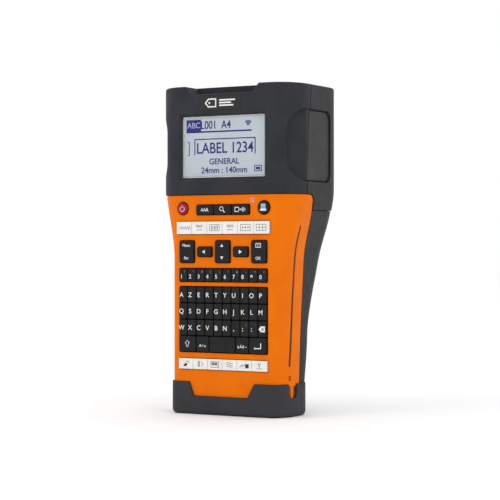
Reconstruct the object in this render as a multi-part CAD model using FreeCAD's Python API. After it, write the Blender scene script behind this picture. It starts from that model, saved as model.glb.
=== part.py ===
"""Handheld label maker: a wide head with a graphic display over a slim keyboard grip.

Frame: millimetres, X to the user's right, Y from the keyboard face to the back, Z up.
The origin is on the ground under the middle of the box that the object fills.
A depth is measured from the front plane of the head, so y = FRONT + depth.
"""
import FreeCAD, Part
import os
from math import acos, cos, degrees, hypot, pi, radians, sin, sqrt

V = FreeCAD.Vector
Y_AXIS = V(0, 1, 0)

# ---------------------------------------------------------------- overall sizes
HEIGHT = 250.0
HEAD_DEPTH = 84.0
HEAD_HALF_WIDTH = 61.2
GRIP_HALF_WIDTH = 51.0
NECK_HALF_WIDTH = 60.3           # keyboard shell just under the head
GRIP_DEPTH = 54.0
FACE_HALF_WIDTH = 40.0           # flat part of the front, the keyboard lies on it
LIP = 0.8                        # how far the bumper stands in front of the head
FRONT = LIP - (HEAD_DEPTH + LIP) / 2

# ---------------------------------------------------------------- levels along Z
HEAD_BOTTOM = 167.0              # lower edge of the display head, in front
COVER_BOTTOM = 155.3             # lower edge of the tape cover, behind
NECK_START = 118.0               # where the grip begins to widen to the head
NECK_END = 172.0
SWELL_START = 56.0               # where the back of the grip begins to swell
SWELL_END = 150.0
FOOT_END = 60.0                  # below this the back leans in to the foot
SHELL_BOTTOM = 3.5
BUMPER_TOP = 24.8

# ---------------------------------------------------------------- walls and gaps
WALL = 2.4
FACE_STEP = 1.0                  # keyboard face lies this far behind the head's
SEAM = 0.5                       # visible gap where two shells meet
COVER_SEAM = 0.9                 # the gap in front of the tape cover
PARTING_GAP = 0.7                # deeper gap along the side of the grip
FIT_GAP = 0.15
KEY_GAP = 0.35
RUN_GAP = 0.08                   # radial gap of a shaft in its hole

# ---------------------------------------------------------------- plan outline
FRONT_SWEEP = 23.0               # depth over which the front corner turns
GRIP_REAR_CORNER = 16.0
FOOT_CORNER = 22.0
FOOT_LEAN = 2.8
HEAD_REAR_CORNER = 22.6
BACK_CROWN = radians(8.0)        # half the angle that the crowned back turns
TOP_CROWN_RADIUS = 5000.0
LOFT_STEPS = 16


def ease(z, start, end):
    """Smooth step from 0 at start to 1 at end."""
    share = min(1.0, max(0.0, (z - start) / (end - start)))
    return share * share * (3 - 2 * share)


def y_at(depth):
    return FRONT + depth


# ---------------------------------------------------------------- basic solids
def box(x0, x1, y0, y1, z0, z1):
    return Part.makeBox(x1 - x0, y1 - y0, z1 - z0, V(x0, y0, z0))


def rod_y(x, z, radius, y0, y1):
    return Part.makeCylinder(radius, y1 - y0, V(x, y0, z), Y_AXIS)


def rod_x(y, z, radius, x0, x1):
    return Part.makeCylinder(radius, x1 - x0, V(x0, y, z), V(1, 0, 0))


def closed_prism(edges, along):
    return Part.Face(Part.Wire(edges)).extrude(along)


def polygon_prism(points, along):
    ring = [V(*p) for p in points]
    return Part.Face(Part.makePolygon(ring + ring[:1])).extrude(along)


def round_rect_y(x0, x1, z0, z1, y0, y1, radius):
    """Plate facing Y with round corners."""
    plate = box(x0, x1, y0, y1, z0, z1)
    corners = [e for e in plate.Edges if abs(e.Vertexes[0].Y - e.Vertexes[1].Y) > 1e-6]
    return plate.makeFillet(radius, corners)


def round_rect_x(y0, y1, z0, z1, x0, x1, radius):
    """Plate facing X with round corners."""
    plate = box(x0, x1, y0, y1, z0, z1)
    corners = [e for e in plate.Edges if abs(e.Vertexes[0].X - e.Vertexes[1].X) > 1e-6]
    return plate.makeFillet(radius, corners)


def middle_of(edge):
    return edge.valueAt((edge.FirstParameter + edge.LastParameter) / 2)


def front_edges(shape, y):
    """Edges that lie on a front plane."""
    return [e for e in shape.Edges if e.BoundBox.YMax < y + 1e-3 and e.BoundBox.YMin > y - 1e-3]


def key_cap(x0, x1, z0, z1, y0, y1, corner, edge):
    """Key cap whose face looks to the front, with round corners and a soft front edge."""
    cap = round_rect_y(x0, x1, z0, z1, y0, y1, corner)
    rim = [e for e in cap.Edges if e.BoundBox.YMax < y0 + 1e-6]
    return cap.makeFillet(edge, rim)


def round_cap(x, z, radius, y0, y1, edge):
    cap = rod_y(x, z, radius, y0, y1)
    rim = [e for e in cap.Edges if e.BoundBox.YMax < y0 + 1e-6]
    return cap.makeFillet(edge, rim)


# ---------------------------------------------------------------- hull of the object
def quarter(start, corner, end):
    """Quarter of an ellipse between two points, tangent to the lines through corner."""
    curve = Part.BSplineCurve()
    curve.buildFromPolesMultsKnots([start, corner, end], [3, 3], [0, 1], False, 2,
                                   [1, sqrt(0.5), 1])
    return curve.toShape()


def outline(z, half_width, front, rear, corner, inset):
    """Plan outline at height z, as eight edges that start at the left end of the face."""
    w = half_width - inset
    y0 = front + inset
    y1 = FRONT + FRONT_SWEEP
    r = corner - inset
    crown_radius = (w - r + r * sin(BACK_CROWN)) / sin(BACK_CROWN)
    y2 = rear - inset - r * cos(BACK_CROWN) - crown_radius * (1 - cos(BACK_CROWN))
    turn = (pi / 2 - BACK_CROWN) / 2
    x3 = w - r + r * sin(BACK_CROWN)
    y3 = y2 + r * cos(BACK_CROWN)
    mid = V(w - r + r * cos(turn), y2 + r * sin(turn), z)
    face, left_face = V(FACE_HALF_WIDTH, y0, z), V(-FACE_HALF_WIDTH, y0, z)
    side, left_side = V(w, y1, z), V(-w, y1, z)
    return Part.Wire([
        Part.makeLine(left_face, face),
        quarter(face, V(w, y0, z), side),
        Part.makeLine(side, V(w, y2, z)),
        Part.Arc(V(w, y2, z), mid, V(x3, y3, z)).toShape(),
        Part.Arc(V(x3, y3, z), V(0, rear - inset, z), V(-x3, y3, z)).toShape(),
        Part.Arc(V(-x3, y3, z), V(-mid.x, mid.y, z), V(-w, y2, z)).toShape(),
        Part.makeLine(V(-w, y2, z), left_side),
        quarter(left_side, V(-w, y0, z), left_face),
    ])


def rear_y(z):
    """Back of the object on its middle plane."""
    swell = (HEAD_DEPTH - GRIP_DEPTH) * ease(z, SWELL_START, SWELL_END)
    return y_at(GRIP_DEPTH + swell - FOOT_LEAN * (1 - ease(z, 0, FOOT_END)))


def half_width_at(z, top_half_width):
    return GRIP_HALF_WIDTH + (top_half_width - GRIP_HALF_WIDTH) * ease(z, NECK_START, NECK_END)


def corner_at(z):
    foot = (FOOT_CORNER - GRIP_REAR_CORNER) * (1 - ease(z, 0, FOOT_END))
    swell = (HEAD_REAR_CORNER - GRIP_REAR_CORNER) * ease(z, SWELL_START, SWELL_END)
    return GRIP_REAR_CORNER + foot + swell


def hull(z0, z1, front, top_half_width, inset=0.0):
    """Solid of the whole object between two heights, inset by a wall where asked."""
    levels = [z0 + (z1 - z0) * i / LOFT_STEPS for i in range(LOFT_STEPS + 1)]
    rings = [outline(z, half_width_at(z, top_half_width), front, rear_y(z),
                     corner_at(z), inset) for z in levels]
    return Part.makeLoft(rings, True, False)


def crowned_to(height, x_reach=90.0):
    """Everything below the crowned top surface that reaches the given height."""
    drum = Part.makeCylinder(TOP_CROWN_RADIUS, 200, V(0, -100, height - TOP_CROWN_RADIUS), Y_AXIS)
    return drum.common(box(-x_reach, x_reach, -100, 100, -10, height + 1))


SEAM_DEPTH = (20.4, 26.4)        # at the bottom and at the top of the head


def seam_y(z):
    """Plane where the display head meets the tape cover, leaning back towards the top."""
    share = (z - HEAD_BOTTOM) / (HEIGHT - HEAD_BOTTOM)
    return y_at(SEAM_DEPTH[0] + (SEAM_DEPTH[1] - SEAM_DEPTH[0]) * share)


def front_of_seam(gap=0.0):
    """Region in front of the seam plane, above the keyboard shell."""
    z0, z1 = HEAD_BOTTOM, HEIGHT + 5
    return polygon_prism([(-90, -90, z0), (-90, seam_y(z0) + gap, z0),
                          (-90, seam_y(z1) + gap, z1), (-90, -90, z1)], V(180, 0, 0))


PARTING_TOP = HEAD_BOTTOM - SEAM
PARTING_CORNER = 6.0
# depth of the line where the keyboard shell meets the rear shell, against height
PARTING = [(-5.0, 25.3), (40.0, 27.2), (80.0, 30.1), (115.0, 33.6), (140.0, 34.8),
           (PARTING_TOP - PARTING_CORNER, 32.6)]


def front_of_parting(gap=0.0):
    """Region of the keyboard shell, seen from the side."""
    line = Part.BSplineCurve()
    line.interpolate([V(-90, y_at(depth) + gap, z) for z, depth in PARTING])
    low, high = line.StartPoint, line.EndPoint
    r = PARTING_CORNER
    bend = V(-90, high.y - r * (1 - sqrt(0.5)) , high.z + (r + gap) * sqrt(0.5))
    end = V(-90, high.y - r, high.z + r + gap)
    edges = [line.toShape(), Part.Arc(high, bend, end).toShape(),
             Part.makeLine(end, V(-90, -90, end.z)),
             Part.makeLine(V(-90, -90, end.z), V(-90, -90, low.z)),
             Part.makeLine(V(-90, -90, low.z), low)]
    return closed_prism(edges, V(180, 0, 0))


# ---------------------------------------------------------------- display head
DISPLAY_X = (-37.0, 35.4)
DISPLAY_Z = (180.0, 226.5)
DISPLAY_DEPTH = 1.8              # window face behind the head's face
DISPLAY_BEVEL = 2.2
BADGE_X = (-20.2, 15.8)
BADGE_Z = (230.7, 241.9)
BADGE_SINK = 0.6
NOTCH_CENTRE = -1.9              # label notch in the top edge of the head
NOTCH_HALF_TOP = 32.1
NOTCH_HALF_FLOOR = 28.1
NOTCH_DROP = 6.6
NOTCH_DEPTH = 19.0
EDGE_ROUND = 1.7
RIM_ROUND = 0.5                  # soft edges where the shells meet
NOTCH_BEVEL = 0.9

# thumb scoop on both sides, it runs from the head's corner to the cover's button
SCOOP_Z = (176.0, 231.0)
SCOOP_FRONT = 4.3
SCOOP_X = 47.5
SCOOP_WALL_DEPTH = 8.0
SCOOP_CORNER = 16.0
BUTTON_BACK = 58.0               # depth of the rear end of the side button
BUTTON_SINK = 1.2
BUTTON_CORNER = 7.0

BOSS_RADIUS = 3.4
SCREW_RADIUS = 1.25
FRAME_DEPTH = 30.0               # front of the bay frame's plate
FRAME_PLATE = 2.5
FRAME_SCREWS = [(x, z) for x in (-50.0, 50.0) for z in (171.5, 238.0)]


def scoop(inset=0.0, grow=0.0):
    """Right-hand thumb scoop: a steep front wall, then a floor that rises to the seam."""
    z0, z1 = SCOOP_Z[0] - grow, SCOOP_Z[1] + grow
    y0 = y_at(SCOOP_FRONT) - grow
    y_end = y_at(40.0)
    floor = [(SCOOP_X - inset, y0 - 10, z0), (SCOOP_X - inset, y_at(SCOOP_WALL_DEPTH), z0),
             (HEAD_HALF_WIDTH - BUTTON_SINK - inset, y_at(SEAM_DEPTH[0] + 0.6), z0),
             (HEAD_HALF_WIDTH - BUTTON_SINK - inset, y_end, z0),
             (HEAD_HALF_WIDTH + 10, y_end, z0), (HEAD_HALF_WIDTH + 10, y0 - 10, z0)]
    body = polygon_prism(floor, V(0, 0, z1 - z0))
    plate = box(SCOOP_X - 10, HEAD_HALF_WIDTH + 10, y0, y_end + 30, z0, z1)
    front_edges = [e for e in plate.Edges
                   if abs(e.Vertexes[0].X - e.Vertexes[1].X) > 1e-6
                   and e.BoundBox.YMax < y0 + 1e-6]
    return body.common(plate.makeFillet(SCOOP_CORNER, front_edges))


def mirrored(shape):
    return shape.mirror(V(0, 0, 0), V(1, 0, 0))


def both_sides(shape):
    return [shape, mirrored(shape)]


def display_opening():
    """Window opening with a bevel that narrows from the face to the glass."""
    (x0, x1), (z0, z1) = DISPLAY_X, DISPLAY_Z
    rings = []
    for depth, b in ((-0.01, DISPLAY_BEVEL), (DISPLAY_DEPTH, 0.0)):
        ring = [V(x, y_at(depth), z) for x, z in
                ((x0 - b, z0 - b), (x1 + b, z0 - b), (x1 + b, z1 + b), (x0 - b, z1 + b))]
        rings.append(Part.makePolygon(ring + ring[:1]))
    bevel = Part.makeLoft(rings, True, True)
    return bevel.fuse(box(x0, x1, y_at(DISPLAY_DEPTH) - 0.1, y_at(10), z0, z1))


def notch():
    """Trapezoid cut through the top front edge, where the label can be seen and held."""
    z0, z1 = HEIGHT - NOTCH_DROP, HEIGHT + 2
    slope = (NOTCH_HALF_TOP - NOTCH_HALF_FLOOR) / NOTCH_DROP
    top = NOTCH_HALF_FLOOR + slope * (z1 - z0)
    c = NOTCH_CENTRE
    return polygon_prism([(c - NOTCH_HALF_FLOOR, FRONT - 1, z0), (c + NOTCH_HALF_FLOOR, FRONT - 1, z0),
                          (c + top, FRONT - 1, z1), (c - top, FRONT - 1, z1)],
                         V(0, NOTCH_DEPTH + 1, 0))


def head_block(inset, top, bottom):
    """Head from a level up: prismatic above the neck and lofted below it."""
    rim = outline(NECK_END, HEAD_HALF_WIDTH, FRONT, y_at(HEAD_DEPTH), HEAD_REAR_CORNER, inset)
    block = Part.Face(rim).extrude(V(0, 0, HEIGHT - NECK_END + 5)).common(crowned_to(top))
    if inset == 0:
        block = block.makeFillet(EDGE_ROUND, [e for e in block.Edges if e.BoundBox.ZMin > top - 8])
    return block.fuse(hull(bottom, NECK_END, FRONT, HEAD_HALF_WIDTH, inset))


def head_blank():
    """Outside of the display head and the tape cover together, with soft top edges."""
    return head_block(0.0, HEIGHT, COVER_BOTTOM - 3)


def head_cavity():
    return head_block(WALL, HEIGHT - WALL, COVER_BOTTOM - 6)


def head_shell(blank, cavity):
    region = front_of_seam()
    shell = blank.cut(cavity).common(region)
    notch_block = box(NOTCH_CENTRE - NOTCH_HALF_TOP - WALL, NOTCH_CENTRE + NOTCH_HALF_TOP + WALL,
                      FRONT, y_at(NOTCH_DEPTH + 8), HEIGHT - NOTCH_DROP - WALL, HEIGHT + 1)
    pads = []
    for pad in both_sides(scoop(WALL, WALL)):
        pads.append(pad.common(blank).common(region))
    bosses = [rod_y(x, z, BOSS_RADIUS, y_at(4.0), y_at(FRAME_DEPTH - FIT_GAP)).common(blank)
              for x, z in FRAME_SCREWS]
    shell = shell.multiFuse([notch_block.common(blank).common(region)] + pads + bosses)
    shell = shell.cut(both_sides(scoop()) + [notch()]).removeSplitter().Solids[0]
    notch_rim = [e for e in front_edges(shell, FRONT) if e.BoundBox.ZMin > HEIGHT - NOTCH_DROP - 1
                 and e.Length > 3 and abs(middle_of(e).x - NOTCH_CENTRE) < NOTCH_HALF_TOP]
    shell = shell.makeChamfer(NOTCH_BEVEL, notch_rim)
    lower = [e for e in shell.Edges if e.BoundBox.ZMax < HEAD_BOTTOM + 0.02
             and e.BoundBox.ZMin > HEAD_BOTTOM - 0.02
             and (e.BoundBox.YMin < FRONT + 0.05 or e.BoundBox.XMax > NECK_HALF_WIDTH
                  or e.BoundBox.XMin < -NECK_HALF_WIDTH)]
    shell = shell.makeFillet(RIM_ROUND, lower)
    cuts = [display_opening()]
    cuts.append(round_rect_y(BADGE_X[0] - FIT_GAP, BADGE_X[1] + FIT_GAP, BADGE_Z[0] - FIT_GAP,
                             BADGE_Z[1] + FIT_GAP, FRONT - 1, y_at(BADGE_SINK), 0.8))
    cuts += [rod_y(x, z, SCREW_RADIUS, y_at(16.0), y_at(FRAME_DEPTH)) for x, z in FRAME_SCREWS]
    return shell.cut(cuts)


# ---------------------------------------------------------------- keyboard
FACE = FRONT + FACE_STEP
KEY_HEIGHT = 1.3                 # key caps stand this far out of the keyboard face
TALL_KEY_HEIGHT = 1.8
KEY_BACK = 5.4                   # depth of the back of every key cap
MAT_DEPTH = 6.6
MAT_THICKNESS = 1.0
BOARD_DEPTH = 8.0
BOARD_THICKNESS = 1.6
BLOCK_CENTRE = -0.45            # the keys stand a little left of the middle
BLOCK_HALF_WIDTH = 38.6
LETTER_ROWS_Z = (47.3, 97.2)
ROW_COUNT = 4
ROW_KEYS = 10
NUMBER_ROW_Z = (100.9, 111.0)
TOP_STRIP_Z = (137.0, 146.7)
TOP_STRIP_HALF = 40.8
LOW_STRIP_Z = (34.3, 42.5)
LOW_STRIP_HALF = 38.9
STRIP_KEYS = 6
BAR_Z = (151.7, 159.2)
BAR_HALF = 23.4
ROUND_KEY_Z = 156.7
ROUND_KEY_X = 35.6
POWER_RADIUS = 4.8
PRINT_RADIUS = 5.1
NAV_PITCH = 15.8
NAV_WIDTH = 13.0
NAV_TALL_Z = (115.4, 132.1)
NAV_LOW_Z = (120.0, 127.3)
NAV_NAMES = ["menu_key", "left_key", "up_down_key", "right_key", "ok_key"]
BAR_NAMES = ["font_key", "preview_key", "feed_key"]
LAST_ROW_NAMES = ["shift_key", "accent_key", "space_key", "symbol_key", "enter_key"]
LAST_ROW_UNITS = [2.0, 1.5, 3.0, 1.5, 2.0]
KEY_SPLIT = 0.5                  # gap between neighbouring caps


def key_row(x_half, z_span, units, height, corner, edge):
    """Caps side by side across a strip; units are the relative widths."""
    pitch = 2 * x_half / sum(units)
    caps, x = [], BLOCK_CENTRE - x_half
    for unit in units:
        x_next = x + unit * pitch
        caps.append(key_cap(x + KEY_SPLIT / 2, x_next - KEY_SPLIT / 2, z_span[0], z_span[1],
                            FACE - height, y_at(KEY_BACK), corner, edge))
        x = x_next
    return caps


def letter_row_z(row):
    """Span of a letter row, counted from the top."""
    pitch = (LETTER_ROWS_Z[1] - LETTER_ROWS_Z[0]) / ROW_COUNT
    top = LETTER_ROWS_Z[1] - row * pitch
    return top - pitch + KEY_SPLIT / 2, top - KEY_SPLIT / 2


def key_solids():
    """Every key node, as a dictionary of node name to its caps."""
    keys = {}
    keys["power_key"] = [round_cap(BLOCK_CENTRE - ROUND_KEY_X, ROUND_KEY_Z, POWER_RADIUS,
                                   FACE - KEY_HEIGHT, y_at(KEY_BACK), 0.6)]
    keys["print_key"] = [round_cap(BLOCK_CENTRE + ROUND_KEY_X, ROUND_KEY_Z, PRINT_RADIUS,
                                   FACE - KEY_HEIGHT, y_at(KEY_BACK), 0.6)]
    for name, cap in zip(BAR_NAMES, key_row(BAR_HALF, BAR_Z, [1, 1, 1], KEY_HEIGHT, 1.6, 0.5)):
        keys[name] = [cap]
    keys["format_keys"] = key_row(TOP_STRIP_HALF, TOP_STRIP_Z, [1] * STRIP_KEYS, KEY_HEIGHT, 1.0, 0.4)
    keys["label_type_keys"] = key_row(LOW_STRIP_HALF, LOW_STRIP_Z, [1] * STRIP_KEYS,
                                      KEY_HEIGHT, 1.0, 0.4)
    for i, name in enumerate(NAV_NAMES):
        x = BLOCK_CENTRE + (i - 2) * NAV_PITCH
        z0, z1 = NAV_LOW_Z if i % 2 else NAV_TALL_Z
        keys[name] = [key_cap(x - NAV_WIDTH / 2, x + NAV_WIDTH / 2, z0, z1,
                              FACE - TALL_KEY_HEIGHT, y_at(KEY_BACK), 1.8, 0.7)]
    keys["number_keys"] = key_row(BLOCK_HALF_WIDTH, NUMBER_ROW_Z, [1] * ROW_KEYS, KEY_HEIGHT, 0.9, 0.4)
    for row in range(3):
        caps = key_row(BLOCK_HALF_WIDTH, letter_row_z(row), [1] * ROW_KEYS, KEY_HEIGHT, 0.9, 0.4)
        if row == 2:
            keys["backspace_key"] = [caps.pop()]
        keys["letter_row_%d" % (row + 1)] = caps
    last = key_row(BLOCK_HALF_WIDTH, letter_row_z(3), LAST_ROW_UNITS, KEY_HEIGHT, 0.9, 0.4)
    for name, cap in zip(LAST_ROW_NAMES, last):
        keys[name] = [cap]
    return keys


def key_openings():
    """Cuts through the keyboard face, one around each block of keys."""
    g, y0, y1 = KEY_GAP, FACE - 5, y_at(KEY_BACK)
    blocks = [(BLOCK_CENTRE - half, BLOCK_CENTRE + half) + span for half, span in
              ((BLOCK_HALF_WIDTH, LETTER_ROWS_Z), (BLOCK_HALF_WIDTH, NUMBER_ROW_Z),
               (TOP_STRIP_HALF, TOP_STRIP_Z), (LOW_STRIP_HALF, LOW_STRIP_Z), (BAR_HALF, BAR_Z))]
    for i in range(len(NAV_NAMES)):
        x = BLOCK_CENTRE + (i - 2) * NAV_PITCH
        blocks.append((x - NAV_WIDTH / 2, x + NAV_WIDTH / 2) + (NAV_LOW_Z if i % 2 else NAV_TALL_Z))
    cuts = [round_rect_y(x0 - g, x1 + g, z0 - g, z1 + g, y0, y1, 1.2) for x0, x1, z0, z1 in blocks]
    cuts.append(rod_y(BLOCK_CENTRE - ROUND_KEY_X, ROUND_KEY_Z, POWER_RADIUS + g, y0, y1))
    cuts.append(rod_y(BLOCK_CENTRE + ROUND_KEY_X, ROUND_KEY_Z, PRINT_RADIUS + g, y0, y1))
    return cuts


# ---------------------------------------------------------------- grip shells
CASE_SCREWS = [(x, z) for x in (-38.0, 38.0) for z in (30.0, 134.55)]
CASE_SPLIT = 31.0                # depth where the bosses of the two shells meet
SCREW_SEAT = 40.0
CASE_BOSS_RADIUS = 4.6
SCREW_HEAD_RADIUS = 2.8
SCREW_HEAD_HOLE = 3.2
STRAP_X = 42.0                   # innermost wall of the strap pocket
STRAP_SPAN = (11.6, 21.4)        # depth
STRAP_Z = (14.2, 23.2)
STRAP_WALL = 1.6
TONGUE_HALF = (1.3, 2.4)         # the strap bar is narrower at its foot
TONGUE_SPAN = (2.6, 0.5)         # its inner and outer face, in from the side of the grip
SLOT_SPAN = (12.8, 15.2)         # short slot above the strap opening
SLOT_Z = (27.2, 31.0)
GROOVE_WIDTH = 2.4
GROOVE_SINK = 1.5
TRIM_SINK = 0.5                  # the trims lie this far below the surface
OPENING_ROUND = 0.35
# depth of the middle of the side groove, against height
GROOVE = [(38.0, 13.6), (57.0, 15.1), (88.0, 17.0), (125.0, 20.6), (143.0, 21.6)]
DOOR_HALF_WIDTH = 27.0
DOOR_Z = (36.0, 102.0)
DOOR_INNER = 44.0                # the battery door reaches in to this depth
PORT_Z = (66.0, 86.0)
PORT_SPAN = (33.0, 42.6)
PORT_POCKET = 9.0
FLAP_THICKNESS = 1.6
FLAP_AXIS_X = 0.9                # the hinge line of the flap, in from the side
FLAP_AXIS_IN = 1.0               # and back from the pocket's front wall
BEAD_RADIUS = 0.8
FLAP_TRIM = (1.4, 1.8)           # its corners beside the bead are cut away to clear the pocket
DOOR_GAP = 0.4


def grip_hull(inset=0.0):
    start = SHELL_BOTTOM + inset
    return hull(start, COVER_BOTTOM + 14, FACE, NECK_HALF_WIDTH, inset)


def strap_box(grow=0.0):
    return box(STRAP_X - grow, GRIP_HALF_WIDTH + 8, y_at(STRAP_SPAN[0]) - grow,
               y_at(STRAP_SPAN[1]) + grow, STRAP_Z[0] - grow, STRAP_Z[1] + grow)


def groove_band(half_width, start=-90.0, end=90.0):
    """Everything behind and in front of the side groove, between two planes of X."""
    edges = []
    curves = []
    for shift in (-half_width, half_width):
        curve = Part.BSplineCurve()
        curve.interpolate([V(start, y_at(depth) + shift, z) for z, depth in GROOVE])
        curves.append(curve)
        edges.append(curve.toShape())
    edges.append(Part.makeLine(curves[0].StartPoint, curves[1].StartPoint))
    edges.append(Part.makeLine(curves[0].EndPoint, curves[1].EndPoint))
    return Part.Face(Part.Wire(Part.__sortEdges__(edges))).extrude(V(end - start, 0, 0))


def side_groove():
    """Long narrow groove down both orange sides, cut to an even depth."""
    return groove_band(GROOVE_WIDTH / 2).cut(grip_hull(GROOVE_SINK))


def side_trims():
    """Dark rubber strips laid in the grooves of both sides, a little below the surface."""
    ring = grip_hull(TRIM_SINK).cut(grip_hull(GROOVE_SINK - 0.02))
    half = GROOVE_WIDTH / 2 - 0.05
    return [ring.common(groove_band(half, 10, 90)), ring.common(groove_band(half, -90, -10))]


def keyboard_shell(outer, cavity):
    region = front_of_parting()
    shell = outer.cut(cavity).common(region)
    bosses = [rod_y(x, z, CASE_BOSS_RADIUS, y_at(10.2), y_at(CASE_SPLIT - FIT_GAP)) for x, z in CASE_SCREWS]
    posts = [rod_y(x, z, SCREW_RADIUS + 1.0, y_at(2), y_at(10.3)) for x, z in CASE_SCREWS]
    pocket = strap_box(STRAP_WALL).common(outer).common(region)
    shell = shell.multiFuse(bosses + posts + [pocket])
    shell = shell.cut(key_openings()).Solids[0]
    rims = [e for e in front_edges(shell, FACE) if LOW_STRIP_Z[0] - 3 < middle_of(e).z < ROUND_KEY_Z + 9
            and abs(middle_of(e).x) < FACE_HALF_WIDTH - 0.1]
    shell = shell.makeFillet(OPENING_ROUND, rims)
    cuts = [side_groove(), strap_box(), bumper_seat()]
    cuts += both_sides(box(GRIP_HALF_WIDTH - 2 * WALL, GRIP_HALF_WIDTH + 5, y_at(SLOT_SPAN[0]),
                           y_at(SLOT_SPAN[1]), SLOT_Z[0], SLOT_Z[1]))
    cuts += [rod_y(x, z, SCREW_RADIUS, y_at(16), y_at(CASE_SPLIT)) for x, z in CASE_SCREWS]
    return shell.cut(cuts)


def rear_shell(outer, cavity):
    below = box(-90, 90, -90, 90, -5, COVER_BOTTOM - SEAM)
    shell = outer.cut(cavity).common(below).cut(front_of_parting(PARTING_GAP))
    tubes = [rod_y(x, z, CASE_BOSS_RADIUS, y_at(CASE_SPLIT), y_at(HEAD_DEPTH)).common(outer)
             for x, z in CASE_SCREWS]
    port_block = box(-GRIP_HALF_WIDTH - 5, -GRIP_HALF_WIDTH + PORT_POCKET + WALL,
                     y_at(PORT_SPAN[0]) - WALL - 0.2, y_at(PORT_SPAN[1]) + WALL,
                     PORT_Z[0] - WALL, PORT_Z[1] + WALL).common(outer)
    shell = shell.multiFuse(tubes + [port_block.cut(front_of_parting(PARTING_GAP))])
    cuts = [rod_y(x, z, SCREW_HEAD_HOLE, y_at(SCREW_SEAT), y_at(HEAD_DEPTH) + 1) for x, z in CASE_SCREWS]
    cuts += [rod_y(x, z, SCREW_RADIUS + 0.2, y_at(CASE_SPLIT) - 1, y_at(SCREW_SEAT) + 1)
             for x, z in CASE_SCREWS]
    cuts += [door_box(0.0), port_box(0.0, PORT_POCKET), bumper_seat()]
    return shell.cut(cuts)


def door_box(gap):
    return round_rect_y(-DOOR_HALF_WIDTH + gap, DOOR_HALF_WIDTH - gap, DOOR_Z[0] + gap,
                        DOOR_Z[1] - gap, y_at(DOOR_INNER), y_at(HEAD_DEPTH) + 5, 4.0)


def battery_door(outer, cavity):
    skin = outer.cut(cavity).common(door_box(DOOR_GAP))
    grips = [rod_x(rear_y(DOOR_Z[1] - 8 - 3 * i) + 0.6, DOOR_Z[1] - 8 - 3 * i, 1.2, -9, 9)
             for i in range(3)]
    return skin.cut(grips)


def port_box(gap, pocket):
    return round_rect_x(y_at(PORT_SPAN[0]) + gap, y_at(PORT_SPAN[1]) - gap, PORT_Z[0] + gap,
                        PORT_Z[1] - gap, -GRIP_HALF_WIDTH - 5, -GRIP_HALF_WIDTH + pocket, 2.0)


def port_flap(outer):
    """Rubber flap over the sockets, with a round bead along its front edge that it turns on."""
    inner = hull(SHELL_BOTTOM + 2, COVER_BOTTOM + 12, FACE, NECK_HALF_WIDTH, FLAP_THICKNESS)
    x, y = FLAP_AXIS_X - GRIP_HALF_WIDTH, y_at(PORT_SPAN[0] + FLAP_AXIS_IN)
    room = port_box(DOOR_GAP, PORT_POCKET).common(box(-90, 0, y, 90, 0, HEIGHT))
    z0, z1 = PORT_Z[0] + FLAP_TRIM[1], PORT_Z[1] - FLAP_TRIM[1]
    corners = [box(-90, 0, y - 1, y + FLAP_TRIM[0], z0 - 5, z0),
               box(-90, 0, y - 1, y + FLAP_TRIM[0], z1, z1 + 5)]
    bead = Part.makeCylinder(BEAD_RADIUS, z1 - z0, V(x, y, z0))
    return outer.cut(inner).common(room).cut(corners).fuse(bead)


# ---------------------------------------------------------------- rubber bumper
BUMPER_FRONT = 1.8               # how far it stands out of the shells in front,
BUMPER_SIDE = 1.2                # at the sides
BUMPER_REAR = 0.3                # and behind
BUMPER_SINK = 1.2                # the shells step in by this under the rubber
BUMPER_EDGE = 3.4
CUT_TOP_X = (-30.0, 27.6)        # the opening in front, at the rim and at its floor
CUT_FLOOR_X = (-25.9, 21.6)
CUT_FLOOR = 14.1


def bumper_window(gap=0.0):
    """Opening of the rubber in front, where the face of the keyboard shell shows."""
    return polygon_prism([(CUT_FLOOR_X[0] + gap, FRONT - 5, CUT_FLOOR + gap),
                          (CUT_FLOOR_X[1] - gap, FRONT - 5, CUT_FLOOR + gap),
                          (CUT_TOP_X[1] - gap, FRONT - 5, BUMPER_TOP + 0.3),
                          (CUT_TOP_X[0] + gap, FRONT - 5, BUMPER_TOP + 0.3)], V(0, 15, 0))


def strap_notch(gap=0.0):
    """Notch in the rim of the rubber in front of the strap opening."""
    (y0, y1), x, z0 = [y_at(depth) for depth in STRAP_SPAN], GRIP_HALF_WIDTH - 6, STRAP_Z[0]
    return polygon_prism([(x, y0 + 2, z0 + gap), (x, y1 - 2, z0 + gap), (x, y1 - gap, z0 + 3),
                          (x, y1 - gap, BUMPER_TOP + 1), (x, y0 + gap, BUMPER_TOP + 1),
                          (x, y0 + gap, z0 + 3)], V(15, 0, 0))


def bumper_seat():
    """What the shells lose under the rubber."""
    around = box(-90, 90, -90, 90, -5, BUMPER_TOP + FIT_GAP)
    core = hull(SHELL_BOTTOM, BUMPER_TOP + 5, FACE, NECK_HALF_WIDTH, BUMPER_SINK)
    return around.cut([core, bumper_window(FIT_GAP), strap_notch(FIT_GAP)])


def bumper():
    """Rubber boot around the foot of the grip, open in front where the face shows."""
    rim = outline(0, GRIP_HALF_WIDTH + BUMPER_SIDE, FACE - BUMPER_FRONT, rear_y(BUMPER_TOP) + BUMPER_REAR,
                  corner_at(BUMPER_TOP) + BUMPER_SIDE, 0)
    block = Part.Face(rim).extrude(V(0, 0, BUMPER_TOP))
    block = block.makeFillet(BUMPER_EDGE, [e for e in block.Edges if e.BoundBox.ZMax < 0.01])
    block = block.makeFillet(0.7, [e for e in block.Edges if e.BoundBox.ZMin > BUMPER_TOP - 0.01])
    inside = hull(SHELL_BOTTOM - FIT_GAP, BUMPER_TOP + 5, FACE, NECK_HALF_WIDTH, BUMPER_SINK - FIT_GAP)
    return block.cut([inside, bumper_window(), strap_notch()])


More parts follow.
